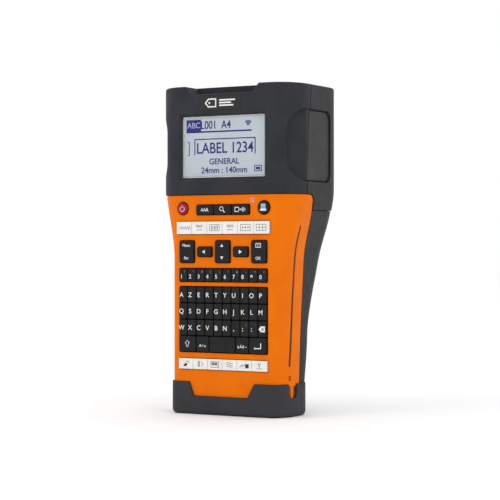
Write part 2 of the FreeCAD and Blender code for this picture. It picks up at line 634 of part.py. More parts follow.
# ---------------------------------------------------------------- tape cover
COVER_BUTTON_Z = (176.6, 230.4)
COVER_BUTTON_ROUND = 0.8
COVER_BUTTON_SPAN = 3.2          # thickness
BUTTON_TRAVEL = 1.4
SLOT_WIDTH = 5.6                 # label exit in the top of the cover
SLOT_BACK = 62.0
LATCH_Z = (196.0, 210.0)


def button_region(gap):
    """Room of the right-hand button; it begins at the seam, so its front edge is straight."""
    room = round_rect_x(FRONT - 20, y_at(BUTTON_BACK) - gap, COVER_BUTTON_Z[0] + gap,
                        COVER_BUTTON_Z[1] - gap, HEAD_HALF_WIDTH - 15, HEAD_HALF_WIDTH + 5, BUTTON_CORNER)
    return room.cut(front_of_seam(COVER_SEAM + max(gap, 0.0) / 2))


def cover_button():
    """Right-hand side button that unlatches the tape cover, a plate with a hook behind it."""
    outside = HEAD_HALF_WIDTH - BUTTON_SINK
    plate = button_region(DOOR_GAP).common(box(outside - COVER_BUTTON_SPAN, outside, -90, 90, 0, HEIGHT))
    rim = [e for e in plate.Edges if e.BoundBox.XMin > outside - 0.01]
    plate = plate.makeFillet(COVER_BUTTON_ROUND, rim)
    hook = box(outside - COVER_BUTTON_SPAN - 2.6, outside - COVER_BUTTON_SPAN, y_at(BUTTON_BACK - 14),
               y_at(BUTTON_BACK - 6), LATCH_Z[0], LATCH_Z[1])
    return plate.fuse(hook)


def tape_cover(blank, cavity):
    shell = blank.cut(cavity).common(box(-90, 90, -90, 90, COVER_BOTTOM, HEIGHT + 5))
    shell = shell.cut([front_of_seam(COVER_SEAM), front_of_parting(PARTING_GAP)])
    collar = button_region(-1.6).common(box(HEAD_HALF_WIDTH - 4.6, HEAD_HALF_WIDTH, -90, 90, 0, HEIGHT))
    collar = collar.cut(front_of_seam(COVER_SEAM))
    shell = shell.multiFuse(both_sides(collar.common(blank)))
    rest = button_region(-0.5).common(box(HEAD_HALF_WIDTH - BUTTON_SINK, HEAD_HALF_WIDTH + 5,
                                          -90, 90, 0, HEIGHT))
    cuts = both_sides(button_region(0.0)) + both_sides(rest) + both_sides(scoop())
    cuts.append(box(NOTCH_CENTRE - SLOT_WIDTH / 2, NOTCH_CENTRE + SLOT_WIDTH / 2, FRONT,
                    y_at(SLOT_BACK), HEIGHT - 10, HEIGHT + 5))
    ribs = [rod_x(y_at(HEAD_DEPTH), 172.0 + 4 * i, 0.9, -16, 16) for i in range(4)]
    return shell.cut(cuts + ribs)


# ---------------------------------------------------------------- display
WINDOW_THICKNESS = 1.2
PANEL_DEPTH = 3.4
PANEL_THICKNESS = 2.2
DISPLAY_FRAME_DEPTH = 5.8


def display_window():
    (x0, x1), (z0, z1), g = DISPLAY_X, DISPLAY_Z, FIT_GAP
    return box(x0 + g, x1 - g, y_at(DISPLAY_DEPTH), y_at(DISPLAY_DEPTH + WINDOW_THICKNESS), z0 + g, z1 - g)


def display_panel():
    (x0, x1), (z0, z1) = DISPLAY_X, DISPLAY_Z
    y0 = y_at(PANEL_DEPTH)
    return round_rect_y(x0 + 1, x1 - 1, z0 + 1, z1 - 1, y0, y0 + PANEL_THICKNESS, 0.6)


def display_frame():
    """Tray behind the glass with a lip around it, the backlight and its board in one."""
    (x0, x1), (z0, z1) = DISPLAY_X, DISPLAY_Z
    y0 = y_at(PANEL_DEPTH)
    tray = box(x0 - 4, x1 + 4, y0, y_at(DISPLAY_FRAME_DEPTH + 3), z0 - 4, z1 + 2.4)
    g = 1 - FIT_GAP
    return tray.cut(box(x0 + g, x1 - g, y0 - 1, y0 + PANEL_THICKNESS, z0 + g, z1 - g))


def badge():
    plate = round_rect_y(BADGE_X[0], BADGE_X[1], BADGE_Z[0], BADGE_Z[1],
                         FRONT - 0.1, y_at(BADGE_SINK), 0.7)
    return plate


# ---------------------------------------------------------------- boards and battery
BOARD_HALF_WIDTH = 44.0
BOARD_Z = (27.0, 163.6)
BATTERY_HALF_WIDTH = 31.0
BATTERY_Z = (36.0, 126.0)
BATTERY_SPAN = (13.0, 41.0)


def post_holes(y0, y1, radius):
    return [rod_y(x, z, radius, y0, y1) for x, z in CASE_SCREWS]


def keypad_mat():
    """Rubber sheet under the caps, with a low dome below each round and tall key."""
    y0, y1 = y_at(MAT_DEPTH), y_at(MAT_DEPTH + MAT_THICKNESS)
    mat = round_rect_y(-BOARD_HALF_WIDTH, BOARD_HALF_WIDTH, BOARD_Z[0], BOARD_Z[1], y0, y1, 2.0)
    return mat.cut(post_holes(y0 - 1, y1 + 1, SCREW_RADIUS + 1.4))


def main_board():
    y0 = y_at(BOARD_DEPTH)
    y1 = y0 + BOARD_THICKNESS
    board = round_rect_y(-BOARD_HALF_WIDTH, BOARD_HALF_WIDTH, BOARD_Z[0], BOARD_Z[1], y0, y1, 1.5)
    board = board.cut(post_holes(y0 - 1, y1 + 1, SCREW_RADIUS + 1.4))
    chips = [box(x, x + w, y1, y1 + 1.6, z, z + h) for x, z, w, h in
             ((-14, 134, 18, 18), (14, 138, 12, 8), (-30, 146, 9, 12), (20, 128, 6, 5))]
    return board.multiFuse(chips)


def battery_pack():
    pack = box(-BATTERY_HALF_WIDTH, BATTERY_HALF_WIDTH, y_at(BATTERY_SPAN[0]), y_at(BATTERY_SPAN[1]),
               BATTERY_Z[0], BATTERY_Z[1])
    return pack.makeFillet(2.5, pack.Edges)


# ---------------------------------------------------------------- tape bay and drive
FRAME_BACK = FRAME_DEPTH + FRAME_PLATE
FRAME_HALF_WIDTH = 54.5
FRAME_Z = (142.0, 244.0)
FRAME_LOW_HALF = 36.0            # the plate is narrow where it reaches into the neck
FRAME_STEP_Z = 168.0
CASSETTE_X = (-40.0, 42.0)
CASSETTE_Z = (172.0, 238.0)
CASSETTE_SPAN = (33.5, 62.5)
CASSETTE_WALL = 1.6
TAPE_WIDTH = 24.0
TAPE_X = NOTCH_CENTRE            # the label leaves the bay straight up at this place
PATH_WINDOW_X = (-12.0, 14.0)
PATH_WINDOW_Z = 214.0            # the cassette is open above this level at the print head
ROLLER_RADIUS = 4.2
ROLLER_Z = 222.0
TAPE_ROOM = 0.35
ROLL_RADIUS = 17.0
ROLL_AT = (22.0, 193.0)
SUPPLY_RADIUS = 9.0
SUPPLY_AT = (-26.0, 222.0)
TAKE_UP_RADIUS = 9.0
HUB_RADIUS = 5.0
HUB_BORE = 3.6
POCKET_GAP = 0.8

GEAR_SPAN = (25.6, 28.4)         # depth of the gear train, in front of the plate
TOOTH_RISE = 0.9
TOOTH_DROP = 1.15
MOTOR_AT = (27.0, 152.0)
MOTOR_RADIUS = 9.0
MOTOR_LENGTH = 27.0
SHAFT_RADIUS = 1.5
PINION_TEETH = 9
WHEEL_TEETH = 38
IDLER_TEETH = 28
ROLLER_TEETH = 14
SPINDLE_TEETH = 18
ROLLER_AT = (TAPE_X + TAPE_ROOM + ROLLER_RADIUS, ROLLER_Z)


def heading(a, b):
    """Direction from a to b in the X-Z plane, in degrees from +X towards +Z."""
    turn = degrees(acos((b[0] - a[0]) / hypot(b[0] - a[0], b[1] - a[1])))
    return turn if b[1] >= a[1] else -turn


def two_circles(a, radius_a, b, radius_b):
    """Point at the two distances, on the left of the way from a to b."""
    span = hypot(b[0] - a[0], b[1] - a[1])
    along = (span ** 2 + radius_a ** 2 - radius_b ** 2) / (2 * span)
    side = sqrt(radius_a ** 2 - along ** 2)
    ux, uz = (b[0] - a[0]) / span, (b[1] - a[1]) / span
    return a[0] + ux * along - uz * side, a[1] + uz * along + ux * side


def mesh_distance(teeth_a, teeth_b):
    """Centre distance of two wheels of module 1, with a little backlash."""
    return (teeth_a + teeth_b) / 2 + 0.12


# pinion - wheel - idler - roller gear in one chain; the spindle gear runs on the idler
WHEEL_SHIFT = 1.0                # the wheel stands this far left of the motor
WHEEL_RISE = sqrt(mesh_distance(PINION_TEETH, WHEEL_TEETH) ** 2 - WHEEL_SHIFT ** 2)
WHEEL_AT = (MOTOR_AT[0] - WHEEL_SHIFT, MOTOR_AT[1] + WHEEL_RISE)
IDLER_AT = two_circles(WHEEL_AT, mesh_distance(WHEEL_TEETH, IDLER_TEETH),
                       ROLLER_AT, mesh_distance(IDLER_TEETH, ROLLER_TEETH))
TAKE_UP_AT = (IDLER_AT[0] - mesh_distance(IDLER_TEETH, SPINDLE_TEETH) * cos(radians(35.0)),
              IDLER_AT[1] - mesh_distance(IDLER_TEETH, SPINDLE_TEETH) * sin(radians(35.0)))


def next_phase(teeth_a, phase_a, way, teeth_b):
    """First tooth angle of wheel b so that its gap faces a tooth of wheel a."""
    pitch_a, pitch_b = 360.0 / teeth_a, 360.0 / teeth_b
    ahead = ((phase_a - way) / pitch_a) % 1.0
    return way + 180.0 + (0.5 - ahead) * pitch_b


def gear(at, teeth, phase, bore):
    """Spur wheel of module 1 with straight-sided teeth, its axis along Y."""
    r = teeth / 2.0
    root, tip = r - TOOTH_DROP, r + TOOTH_RISE
    y0, y1 = y_at(GEAR_SPAN[0]), y_at(GEAR_SPAN[1])
    points = []
    for i in range(teeth):
        middle = radians(phase + i * 360.0 / teeth)
        for radius, half in ((root, 0.95), (tip, 0.32)):
            points.append((radius, middle - half / radius))
        for radius, half in ((tip, 0.32), (root, 0.95)):
            points.append((radius, middle + half / radius))
    ring = [(at[0] + radius * cos(a), y0, at[1] + radius * sin(a)) for radius, a in points]
    body = polygon_prism(ring, V(0, y1 - y0, 0))
    return body.cut(rod_y(at[0], at[1], bore, y0 - 1, y1 + 1))


def axle_with_gear(at, teeth, phase, radius, y_end):
    wheel = gear(at, teeth, phase, 0.5)
    return wheel.fuse(rod_y(at[0], at[1], radius, y_at(GEAR_SPAN[0] - 1.2), y_end))


def drive_train():
    """Gears, shafts and rollers, in mesh as they stand."""
    way_1 = heading(MOTOR_AT, WHEEL_AT)
    way_2 = heading(WHEEL_AT, IDLER_AT)
    way_3 = heading(IDLER_AT, ROLLER_AT)
    way_4 = heading(IDLER_AT, TAKE_UP_AT)
    pinion_phase = way_1
    wheel_phase = next_phase(PINION_TEETH, pinion_phase, way_1, WHEEL_TEETH)
    idler_phase = next_phase(WHEEL_TEETH, wheel_phase, way_2, IDLER_TEETH)
    roller_phase = next_phase(IDLER_TEETH, idler_phase, way_3, ROLLER_TEETH)
    spindle_phase = next_phase(IDLER_TEETH, idler_phase, way_4, SPINDLE_TEETH)
    pins = SHAFT_RADIUS + RUN_GAP
    nodes = {}
    nodes["motor_pinion"] = [axle_with_gear(MOTOR_AT, PINION_TEETH, pinion_phase, SHAFT_RADIUS,
                                            y_at(FRAME_BACK + 3))]
    nodes["drive_wheel"] = [gear(WHEEL_AT, WHEEL_TEETH, wheel_phase, pins)]
    nodes["idler_wheel"] = [gear(IDLER_AT, IDLER_TEETH, idler_phase, pins)]
    roller_end = CASSETTE_SPAN[0] + 2.5 + TAPE_WIDTH
    shaft = axle_with_gear(ROLLER_AT, ROLLER_TEETH, roller_phase, SHAFT_RADIUS, y_at(roller_end + 2))
    rubber = rod_y(ROLLER_AT[0], ROLLER_AT[1], ROLLER_RADIUS, y_at(CASSETTE_SPAN[0] + 1.5), y_at(roller_end))
    nodes["roller_shaft"] = [shaft]
    nodes["platen_roller"] = [rubber.cut(shaft)]
    spindle = axle_with_gear(TAKE_UP_AT, SPINDLE_TEETH, spindle_phase, 2.2, y_at(CASSETTE_SPAN[1] - 6))
    wings = [box(TAKE_UP_AT[0] - 3.2, TAKE_UP_AT[0] + 3.2, y_at(CASSETTE_SPAN[0] + 1),
                 y_at(CASSETTE_SPAN[1] - 8), TAKE_UP_AT[1] - 0.5, TAKE_UP_AT[1] + 0.5)]
    wings.append(wings[0].rotated(V(TAKE_UP_AT[0], 0, TAKE_UP_AT[1]), Y_AXIS, 90))
    nodes["ribbon_spindle"] = [spindle.multiFuse(wings)]
    return nodes


def bay_frame():
    """Moulded plate that carries the bay, with gear pins in front and spool posts behind."""
    y0, y1 = y_at(FRAME_DEPTH), y_at(FRAME_BACK)
    plate = box(-FRAME_HALF_WIDTH, FRAME_HALF_WIDTH, y0, y1, FRAME_STEP_Z, FRAME_Z[1])
    plate = plate.fuse(box(-FRAME_LOW_HALF, FRAME_LOW_HALF, y0, y1, FRAME_Z[0], FRAME_STEP_Z + 1))
    pins = [rod_y(x, z, SHAFT_RADIUS, y_at(GEAR_SPAN[0] - 0.8), y0 + 1) for x, z in (WHEEL_AT, IDLER_AT)]
    collars = [rod_y(x, z, SHAFT_RADIUS + 1.5, y_at(GEAR_SPAN[1]) + 0.3, y0 + 0.5)
               for x, z in (WHEEL_AT, IDLER_AT)]
    posts = [rod_y(x, z, HUB_BORE - 0.5, y1 - 1, y_at(CASSETTE_SPAN[1] - 7)) for x, z in (ROLL_AT, SUPPLY_AT)]
    wall_low = box(CASSETTE_X[0] - 1, CASSETTE_X[1] + 1, y1 - 0.5, y_at(CASSETTE_SPAN[1] - 5),
                   CASSETTE_Z[0] - 2.4, CASSETTE_Z[0] - 0.8)
    wall_left = box(CASSETTE_X[0] - 2.6, CASSETTE_X[0] - 1, y1 - 0.5, y_at(CASSETTE_SPAN[1] - 5),
                    CASSETTE_Z[0] - 2.4, CASSETTE_Z[1] - 12)
    wall_right = box(CASSETTE_X[1] + 1, CASSETTE_X[1] + 2.6, y1 - 0.5, y_at(CASSETTE_SPAN[1] - 5),
                     CASSETTE_Z[0] - 2.4, CASSETTE_Z[1] - 12)
    plate = plate.multiFuse(pins + collars + posts + [wall_low, wall_left, wall_right])
    run = SHAFT_RADIUS + RUN_GAP
    cuts = [rod_y(MOTOR_AT[0], MOTOR_AT[1], run, y0 - 1, y1 + 1),
            rod_y(ROLLER_AT[0], ROLLER_AT[1], run, y0 - 1, y1 + 1),
            rod_y(TAKE_UP_AT[0], TAKE_UP_AT[1], 2.2 + RUN_GAP, y0 - 1, y1 + 1)]
    cuts += [rod_y(x, z, SCREW_RADIUS + 0.2, y0 - 1, y1 + 1) for x, z in FRAME_SCREWS]
    return plate.cut(cuts)


def print_head():
    """Thin plate that presses the tape on the roller, with a heat sink behind it."""
    right = TAPE_X - TAPE_ROOM + 0.1
    y0, y1 = y_at(FRAME_BACK), y_at(CASSETTE_SPAN[0] + 2 + TAPE_WIDTH)
    blade = box(right - 1.2, right, y0, y1, ROLLER_Z - 6, ROLLER_Z + 6)
    sink = box(right - 4.2, right - 1.2, y0, y1 - 2, ROLLER_Z - 5, ROLLER_Z + 4)
    return blade.fuse(sink)


CUTTER_Z = 241.7                 # height of the cutting edge
CUTTER_OPEN = 1.8                # the edge rests this far from the tape
ANVIL_AT = (2.4, 6.0)            # from the tape to the two faces of the anvil
BLADE_LENGTH = 12.2


def cutter():
    """Moving blade left of the tape path and the fixed anvil on its right."""
    y0, y1 = y_at(FRAME_BACK), y_at(CASSETTE_SPAN[1] - 1)
    tip, back = TAPE_X - CUTTER_OPEN, TAPE_X - CUTTER_OPEN - BLADE_LENGTH
    blade = polygon_prism([(x, y0 + 1, CUTTER_Z + rise) for x, rise in
                           ((tip, -0.3), (tip - 4.2, -1.5), (back, -1.5), (back, 1.5),
                            (tip - 4.2, 1.5), (tip, 0.3))], V(0, y1 - y0 - 2, 0))
    anvil = box(TAPE_X + ANVIL_AT[0], TAPE_X + ANVIL_AT[1], y0, y1, CUTTER_Z - 2.1, CUTTER_Z + 2.1)
    rail = box(back - 10, back - 4.4, y0, y1 - 8, CUTTER_Z - 2.5, CUTTER_Z + 2.5)
    return blade, anvil, rail


def cassette():
    """Tape cassette: a shell open towards the plate, with a window for the print head."""
    x0, x1 = CASSETTE_X
    z0, z1 = CASSETTE_Z
    y0, y1 = y_at(CASSETTE_SPAN[0]), y_at(CASSETTE_SPAN[1])
    body = round_rect_y(x0, x1, z0, z1, y0, y1, 4.0)
    g = POCKET_GAP
    cuts = [box(PATH_WINDOW_X[0], PATH_WINDOW_X[1], y0 - 1, y1 + 1, PATH_WINDOW_Z, z1 + 1)]
    back = y1 - CASSETTE_WALL
    for (x, z), radius in ((ROLL_AT, ROLL_RADIUS), (SUPPLY_AT, SUPPLY_RADIUS), (TAKE_UP_AT, TAKE_UP_RADIUS)):
        cuts.append(rod_y(x, z, radius + g, y0 - 1, back))
        cuts.append(rod_y(x, z, HUB_RADIUS + 0.6, back - 1, y1 + 1))
    label = round_rect_y(-38, -8, z0 + 3, z0 + 15, y1 - 0.5, y1 + 1, 1.0)
    return body.cut(cuts + [label])


def spool(at, radius):
    """Hub with tape or ribbon wound on it."""
    y0, y1 = y_at(CASSETTE_SPAN[0] + 1.2), y_at(CASSETTE_SPAN[1] - CASSETTE_WALL - 0.5)
    wound = rod_y(at[0], at[1], radius, y0 + 1, y1)
    hub = rod_y(at[0], at[1], HUB_RADIUS, y0, y1 + CASSETTE_WALL)
    return wound.fuse(hub).cut(rod_y(at[0], at[1], HUB_BORE, y0 - 1, y1 + CASSETTE_WALL + 1))


def drive_motor():
    can = rod_y(MOTOR_AT[0], MOTOR_AT[1], MOTOR_RADIUS, y_at(FRAME_BACK), y_at(FRAME_BACK + MOTOR_LENGTH))
    can = can.makeFillet(1.0, [e for e in can.Edges if e.BoundBox.YMin > y_at(FRAME_BACK + MOTOR_LENGTH) - 0.1])
    return can.cut(rod_y(MOTOR_AT[0], MOTOR_AT[1], SHAFT_RADIUS + RUN_GAP, y_at(FRAME_BACK) - 1,
                         y_at(FRAME_BACK + 4)))


# ---------------------------------------------------------------- small parts
def screw(x, z, seat, tip):
    """Pan-head screw driven forward, with a cross recess."""
    head = rod_y(x, z, SCREW_HEAD_RADIUS, y_at(seat), y_at(seat + 2.0))
    head = head.makeFillet(0.7, [e for e in head.Edges if e.BoundBox.YMin > y_at(seat + 2.0) - 0.1])
    cross = [box(x - 1.7, x + 1.7, y_at(seat + 0.9), y_at(seat + 3), z - 0.35, z + 0.35),
             box(x - 0.35, x + 0.35, y_at(seat + 0.9), y_at(seat + 3), z - 1.7, z + 1.7)]
    shank = rod_y(x, z, SCREW_RADIUS - 0.05, y_at(tip), y_at(seat))
    return head.fuse(shank).cut(cross)


def screws():
    case = [screw(x, z, SCREW_SEAT, CASE_SPLIT - 12) for x, z in CASE_SCREWS]
    bay = [screw(x, z, FRAME_BACK, FRAME_DEPTH - 10) for x, z in FRAME_SCREWS]
    return case + bay


def strap_bar():
    """Flat tongue across the strap opening, the strap is looped around it."""
    x = GRIP_HALF_WIDTH - TONGUE_SPAN[0]
    y = y_at(sum(STRAP_SPAN) / 2)
    (low, high), (z0, z1) = TONGUE_HALF, STRAP_Z
    return polygon_prism([(x, y - low, z0), (x, y + low, z0), (x, y + high, z1), (x, y - high, z1)],
                         V(TONGUE_SPAN[0] - TONGUE_SPAN[1], 0, 0))


SOCKET_RISE = 5.5
POWER_Z = 72.0
POWER_HALF = 3.8
DATA_Z = (78.4, 83.6)
DATA_WALL = 0.9


def power_socket():
    """Block with a round hole for the charger's plug, on the floor of the port pocket."""
    floor = -GRIP_HALF_WIDTH + PORT_POCKET
    y = y_at(sum(PORT_SPAN) / 2)
    block = round_rect_x(y - POWER_HALF, y + POWER_HALF, POWER_Z - POWER_HALF, POWER_Z + POWER_HALF,
                         floor - SOCKET_RISE, floor, 0.9)
    return block.cut(rod_x(y, POWER_Z, 2.05, floor - SOCKET_RISE - 1, floor - 1.2))


def data_socket():
    """Metal sleeve of the data plug, open to the side."""
    floor = -GRIP_HALF_WIDTH + PORT_POCKET
    y0, y1 = y_at(PORT_SPAN[0] + 1.0), y_at(PORT_SPAN[1] - 1.0)
    (z0, z1), wall = DATA_Z, DATA_WALL
    sleeve = round_rect_x(y0, y1, z0, z1, floor - SOCKET_RISE, floor, 0.9)
    return sleeve.cut(round_rect_x(y0 + wall, y1 - wall, z0 + wall, z1 - wall,
                                   floor - SOCKET_RISE - 1, floor - 1.2, 0.5))


# ---------------------------------------------------------------- build everything
def build():
    grip, grip_space = grip_hull(), grip_hull(WALL)
    blank, head_space = head_blank(), head_cavity()
    blade, anvil, rail = cutter()
    button = cover_button()
    nodes = {
        "head_shell": [head_shell(blank, head_space)],
        "keyboard_shell": [keyboard_shell(grip, grip_space)],
        "rear_shell": [rear_shell(grip, grip_space)],
        "battery_door": [battery_door(grip, grip_space)],
        "port_flap": [port_flap(grip)],
        "tape_cover": [tape_cover(blank, head_space)],
        "cover_button_right": [button],
        "cover_button_left": [mirrored(button)],
        "bumper": [bumper()],
        "side_trims": side_trims(),
        "display_window": [display_window()],
        "display_panel": [display_panel()],
        "display_frame": [display_frame()],
        "badge": [badge()],
        "keypad_mat": [keypad_mat()],
        "main_board": [main_board()],
        "battery_pack": [battery_pack()],
        "bay_frame": [bay_frame()],
        "print_head": [print_head()],
        "cutter_blade": [blade],
        "cutter_anvil": [anvil, rail],
        "cassette_shell": [cassette()],
        "tape_roll": [spool(ROLL_AT, ROLL_RADIUS)],
        "ribbon_supply": [spool(SUPPLY_AT, SUPPLY_RADIUS)],
        "ribbon_take_up": [spool(TAKE_UP_AT, TAKE_UP_RADIUS)],
        "drive_motor": [drive_motor()],
        "screws": screws(),
        "strap_bar": [strap_bar()],
        "power_socket": [power_socket()],
        "data_socket": [data_socket()],
    }
    nodes.update(drive_train())
    nodes.update(key_solids())
    return nodes


def solids_of(shapes):
    found = []
    for shape in shapes:
        found += shape.Solids
    return found


os.makedirs("parts", exist_ok=True)
for name, shapes in build().items():
    solids = solids_of(shapes)
    whole = solids[0] if len(solids) == 1 else Part.makeCompound(solids)
    whole.exportStep("parts/%s.step" % name)
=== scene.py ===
from math import cos, pi, radians, sin
import bmesh
import bpy
from mathutils import Matrix, Vector


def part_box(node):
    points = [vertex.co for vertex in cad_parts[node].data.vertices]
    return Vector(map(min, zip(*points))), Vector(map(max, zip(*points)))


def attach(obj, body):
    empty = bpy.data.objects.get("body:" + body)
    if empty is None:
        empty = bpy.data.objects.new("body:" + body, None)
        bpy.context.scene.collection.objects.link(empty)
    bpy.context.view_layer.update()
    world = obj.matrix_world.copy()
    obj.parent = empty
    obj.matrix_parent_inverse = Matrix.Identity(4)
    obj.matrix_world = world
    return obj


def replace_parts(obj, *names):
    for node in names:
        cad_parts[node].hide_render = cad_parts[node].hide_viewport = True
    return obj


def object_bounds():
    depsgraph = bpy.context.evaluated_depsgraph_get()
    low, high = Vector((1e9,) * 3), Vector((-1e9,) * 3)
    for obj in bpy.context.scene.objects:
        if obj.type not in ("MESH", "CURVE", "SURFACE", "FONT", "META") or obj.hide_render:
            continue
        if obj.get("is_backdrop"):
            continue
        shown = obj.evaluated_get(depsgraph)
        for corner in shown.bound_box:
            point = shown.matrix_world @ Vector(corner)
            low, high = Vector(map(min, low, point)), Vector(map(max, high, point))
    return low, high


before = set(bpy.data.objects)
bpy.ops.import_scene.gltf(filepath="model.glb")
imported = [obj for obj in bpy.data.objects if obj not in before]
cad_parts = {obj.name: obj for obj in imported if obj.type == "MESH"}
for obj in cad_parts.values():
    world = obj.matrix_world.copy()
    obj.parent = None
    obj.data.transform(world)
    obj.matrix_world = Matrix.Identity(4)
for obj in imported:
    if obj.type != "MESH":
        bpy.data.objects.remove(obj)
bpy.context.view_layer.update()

MM = 0.001

# ---- Orange keyboard shell
# The front half of the grip. Injection-moulded ABS in one colour, with a fine spark-eroded
# texture over all of it, and openings for the keys.
def linear(code):
    """sRGB hex colour as the linear values that a shader wants."""
    parts = [int(code[i:i + 2], 16) / 255 for i in (1, 3, 5)]
    return [p / 12.92 if p <= 0.04045 else ((p + 0.055) / 1.055) ** 2.4 for p in parts] + [1]


def add(tree, kind, settings=(), **links):
    """Adds a node, sets its properties and plain inputs, and links its other inputs."""
    made = tree.nodes.new(kind)
    for key, value in dict(settings).items():
        if hasattr(made, key) and not key[0].isupper():
            setattr(made, key, value)
        else:
            made.inputs[key].default_value = value
    for key, source in links.items():
        tree.links.new(source, made.inputs[key.replace("_", " ")])
    return made


def shader(name, colour, roughness, ior=1.46, metallic=0.0, **extra):
    """New material whose Principled shader has these constants on its own sockets."""
    material = bpy.data.materials.new(name)
    material.use_nodes = True
    tree = material.node_tree
    surface = tree.nodes["Principled BSDF"]
    surface.inputs["Base Color"].default_value = linear(colour)
    surface.inputs["Roughness"].default_value = roughness
    surface.inputs["Metallic"].default_value = metallic
    if not metallic:
        surface.inputs["IOR"].default_value = ior
    for key, value in extra.items():
        surface.inputs[key.replace("_", " ")].default_value = value
    return material, tree, surface


def grain(tree, surface, size, height, strength=0.35, detail=3.0):
    """Fine relief of a moulded or rubber surface; size is the pitch of the grain."""
    place = add(tree, "ShaderNodeTexCoord")
    noise = add(tree, "ShaderNodeTexNoise", {"Scale": 1 / size, "Detail": detail, "Roughness": 0.6},
                Vector=place.outputs["Object"])
    relief = add(tree, "ShaderNodeBump", {"Strength": strength, "Distance": height},
                 Height=noise.outputs["Fac"])
    tree.links.new(relief.outputs["Normal"], surface.inputs["Normal"])
    return place, noise


def mottle(tree, surface, place, dark, light, patch, low=0.35, high=0.65, socket="Base Color"):
    """Slow change of colour over the surface, between two close tones."""
    noise = add(tree, "ShaderNodeTexNoise", {"Scale": 1 / patch, "Detail": 4.0},
                Vector=place.outputs["Object"])
    ramp = add(tree, "ShaderNodeValToRGB", Fac=noise.outputs["Fac"])
    for stop, position, colour in zip(ramp.color_ramp.elements, (low, high), (dark, light)):
        stop.position = position
        stop.color = linear(colour)
    tree.links.new(ramp.outputs["Color"], surface.inputs[socket])


def rough_patches(tree, surface, place, low, high, patch):
    """Slightly more and less shiny patches, as handling leaves them."""
    noise = add(tree, "ShaderNodeTexNoise", {"Scale": 1 / patch, "Detail": 5.0},
                Vector=place.outputs["Object"])
    spread = add(tree, "ShaderNodeMapRange", {"From Min": 0.3, "From Max": 0.7, "To Min": low,
                                              "To Max": high}, Value=noise.outputs["Fac"])
    tree.links.new(spread.outputs["Result"], surface.inputs["Roughness"])


def moulded(name, dark, light, roughness, size, height, patch=18 * MM, shine=0.2):
    """Moulded plastic or rubber: close tones, a fine grain and uneven shine."""
    material, tree, surface = shader(name, light, roughness, Specular_IOR_Level=shine)
    place, _ = grain(tree, surface, size, height)
    mottle(tree, surface, place, dark, light, patch)
    rough_patches(tree, surface, place, roughness - 0.05, roughness + 0.06, patch / 3)
    return material


def dress(node, material):
    """Gives a CAD node its finish."""
    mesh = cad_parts[node].data
    mesh.materials.clear()
    mesh.materials.append(material)


# ABS with a spark-eroded texture reads as a soft satin orange with no sharp highlight
orange_abs = moulded("orange_spark_eroded_ABS", "#DD6A00", "#E57000", 0.46, 0.35 * MM, 0.02 * MM,
                     shine=0.08)
dress("keyboard_shell", orange_abs)
dress("strap_bar", orange_abs)

# ---- Dark shells
# The display head, the tape cover, the rear half of the grip and the doors: the same ABS in
# charcoal, with a coarser matt texture so that it grips in the hand.
# the head is a little bluer than the cover and the rear half; the cover, the rear half, the battery
# door and the cover buttons are painted lighter than the head, a painted sheen of their sides on the
# same plastic
charcoal_abs = moulded("charcoal_textured_ABS", "#26272C", "#2C2D32", 0.56, 0.45 * MM, 0.03 * MM)
dress("head_shell", charcoal_abs)
# the cover, rear half and battery door: the same charcoal ABS, painted lighter as a painted sheen
# where their sides catch more light
cover_abs_painted_sheen = moulded("charcoal_ABS_painted_sheen", "#2B2B2D", "#303032", 0.56, 0.45 * MM, 0.03 * MM)
for part in ("tape_cover", "rear_shell", "battery_door"):
    dress(part, cover_abs_painted_sheen)
# the cover buttons: painted lighter still, a painted sheen on the same charcoal plastic
button_abs_painted_sheen = moulded("smooth_charcoal_ABS_painted_sheen", "#313132", "#363637", 0.5, 0.30 * MM, 0.015 * MM)
for part in ("cover_button_right", "cover_button_left"):
    dress(part, button_abs_painted_sheen)

# ---- Foot bumper and port flap
# Thermoplastic rubber, moulded as a boot that is pulled over the foot of the grip.
bumper_rubber = moulded("matt_bumper_rubber", "#313134", "#37373A", 0.66, 0.5 * MM, 0.03 * MM)
dress("bumper", bumper_rubber)
dress("port_flap", bumper_rubber)
dress("side_trims", bumper_rubber)

# ---- Keys
# Silicone rubber caps moulded on one mat: rounded caps with a soft edge and a slightly dished
# face, printed and then sealed with a clear matt coat.
def outline(x0, x1, z0, z1, radius, steps=6):
    """Rounded rectangle in the X-Z plane, anticlockwise as the user sees it."""
    corners = [(x1 - radius, z1 - radius, 0), (x0 + radius, z1 - radius, 1),
               (x0 + radius, z0 + radius, 2), (x1 - radius, z0 + radius, 3)]
    points = []
    for x, z, turn in corners:
        for i in range(steps + 1):
            angle = (turn + i / steps) * pi / 2
            points.append((x + radius * cos(angle), z + radius * sin(angle)))
    return points


def cap(bm, x0, x1, z0, z1, y_face, y_back, radius, edge=0.5 * MM, dish=0.06 * MM):
    """One key cap: drafted sides, a rounded edge and a shallow dish, facing -Y."""
    draft = 0.12 * MM
    rings = [(0.0, y_back)]
    turns = 5
    for i in range(turns + 1):
        angle = i / turns * pi / 2
        rings.append((draft + edge * (1 - cos(angle)), y_face + edge * (1 - sin(angle))))
    half = min(x1 - x0, z1 - z0) / 2 - draft - edge
    for share in (0.25, 0.5, 0.75):
        rings.append((draft + edge + half * share, y_face + dish * (1 - (1 - share) ** 2)))
    loops = []
    for inset, y in rings:
        r = max(radius - inset, 0.15 * MM)
        loops.append([bm.verts.new((x, y, z)) for x, z in
                      outline(x0 + inset, x1 - inset, z0 + inset, z1 - inset, r)])
    count = len(loops[0])
    for low, high in zip(loops, loops[1:]):
        for i in range(count):
            j = (i + 1) % count
            bm.faces.new((low[j], low[i], high[i], high[j]))
    bm.faces.new(loops[0])
    bm.faces.new(list(reversed(loops[-1])))


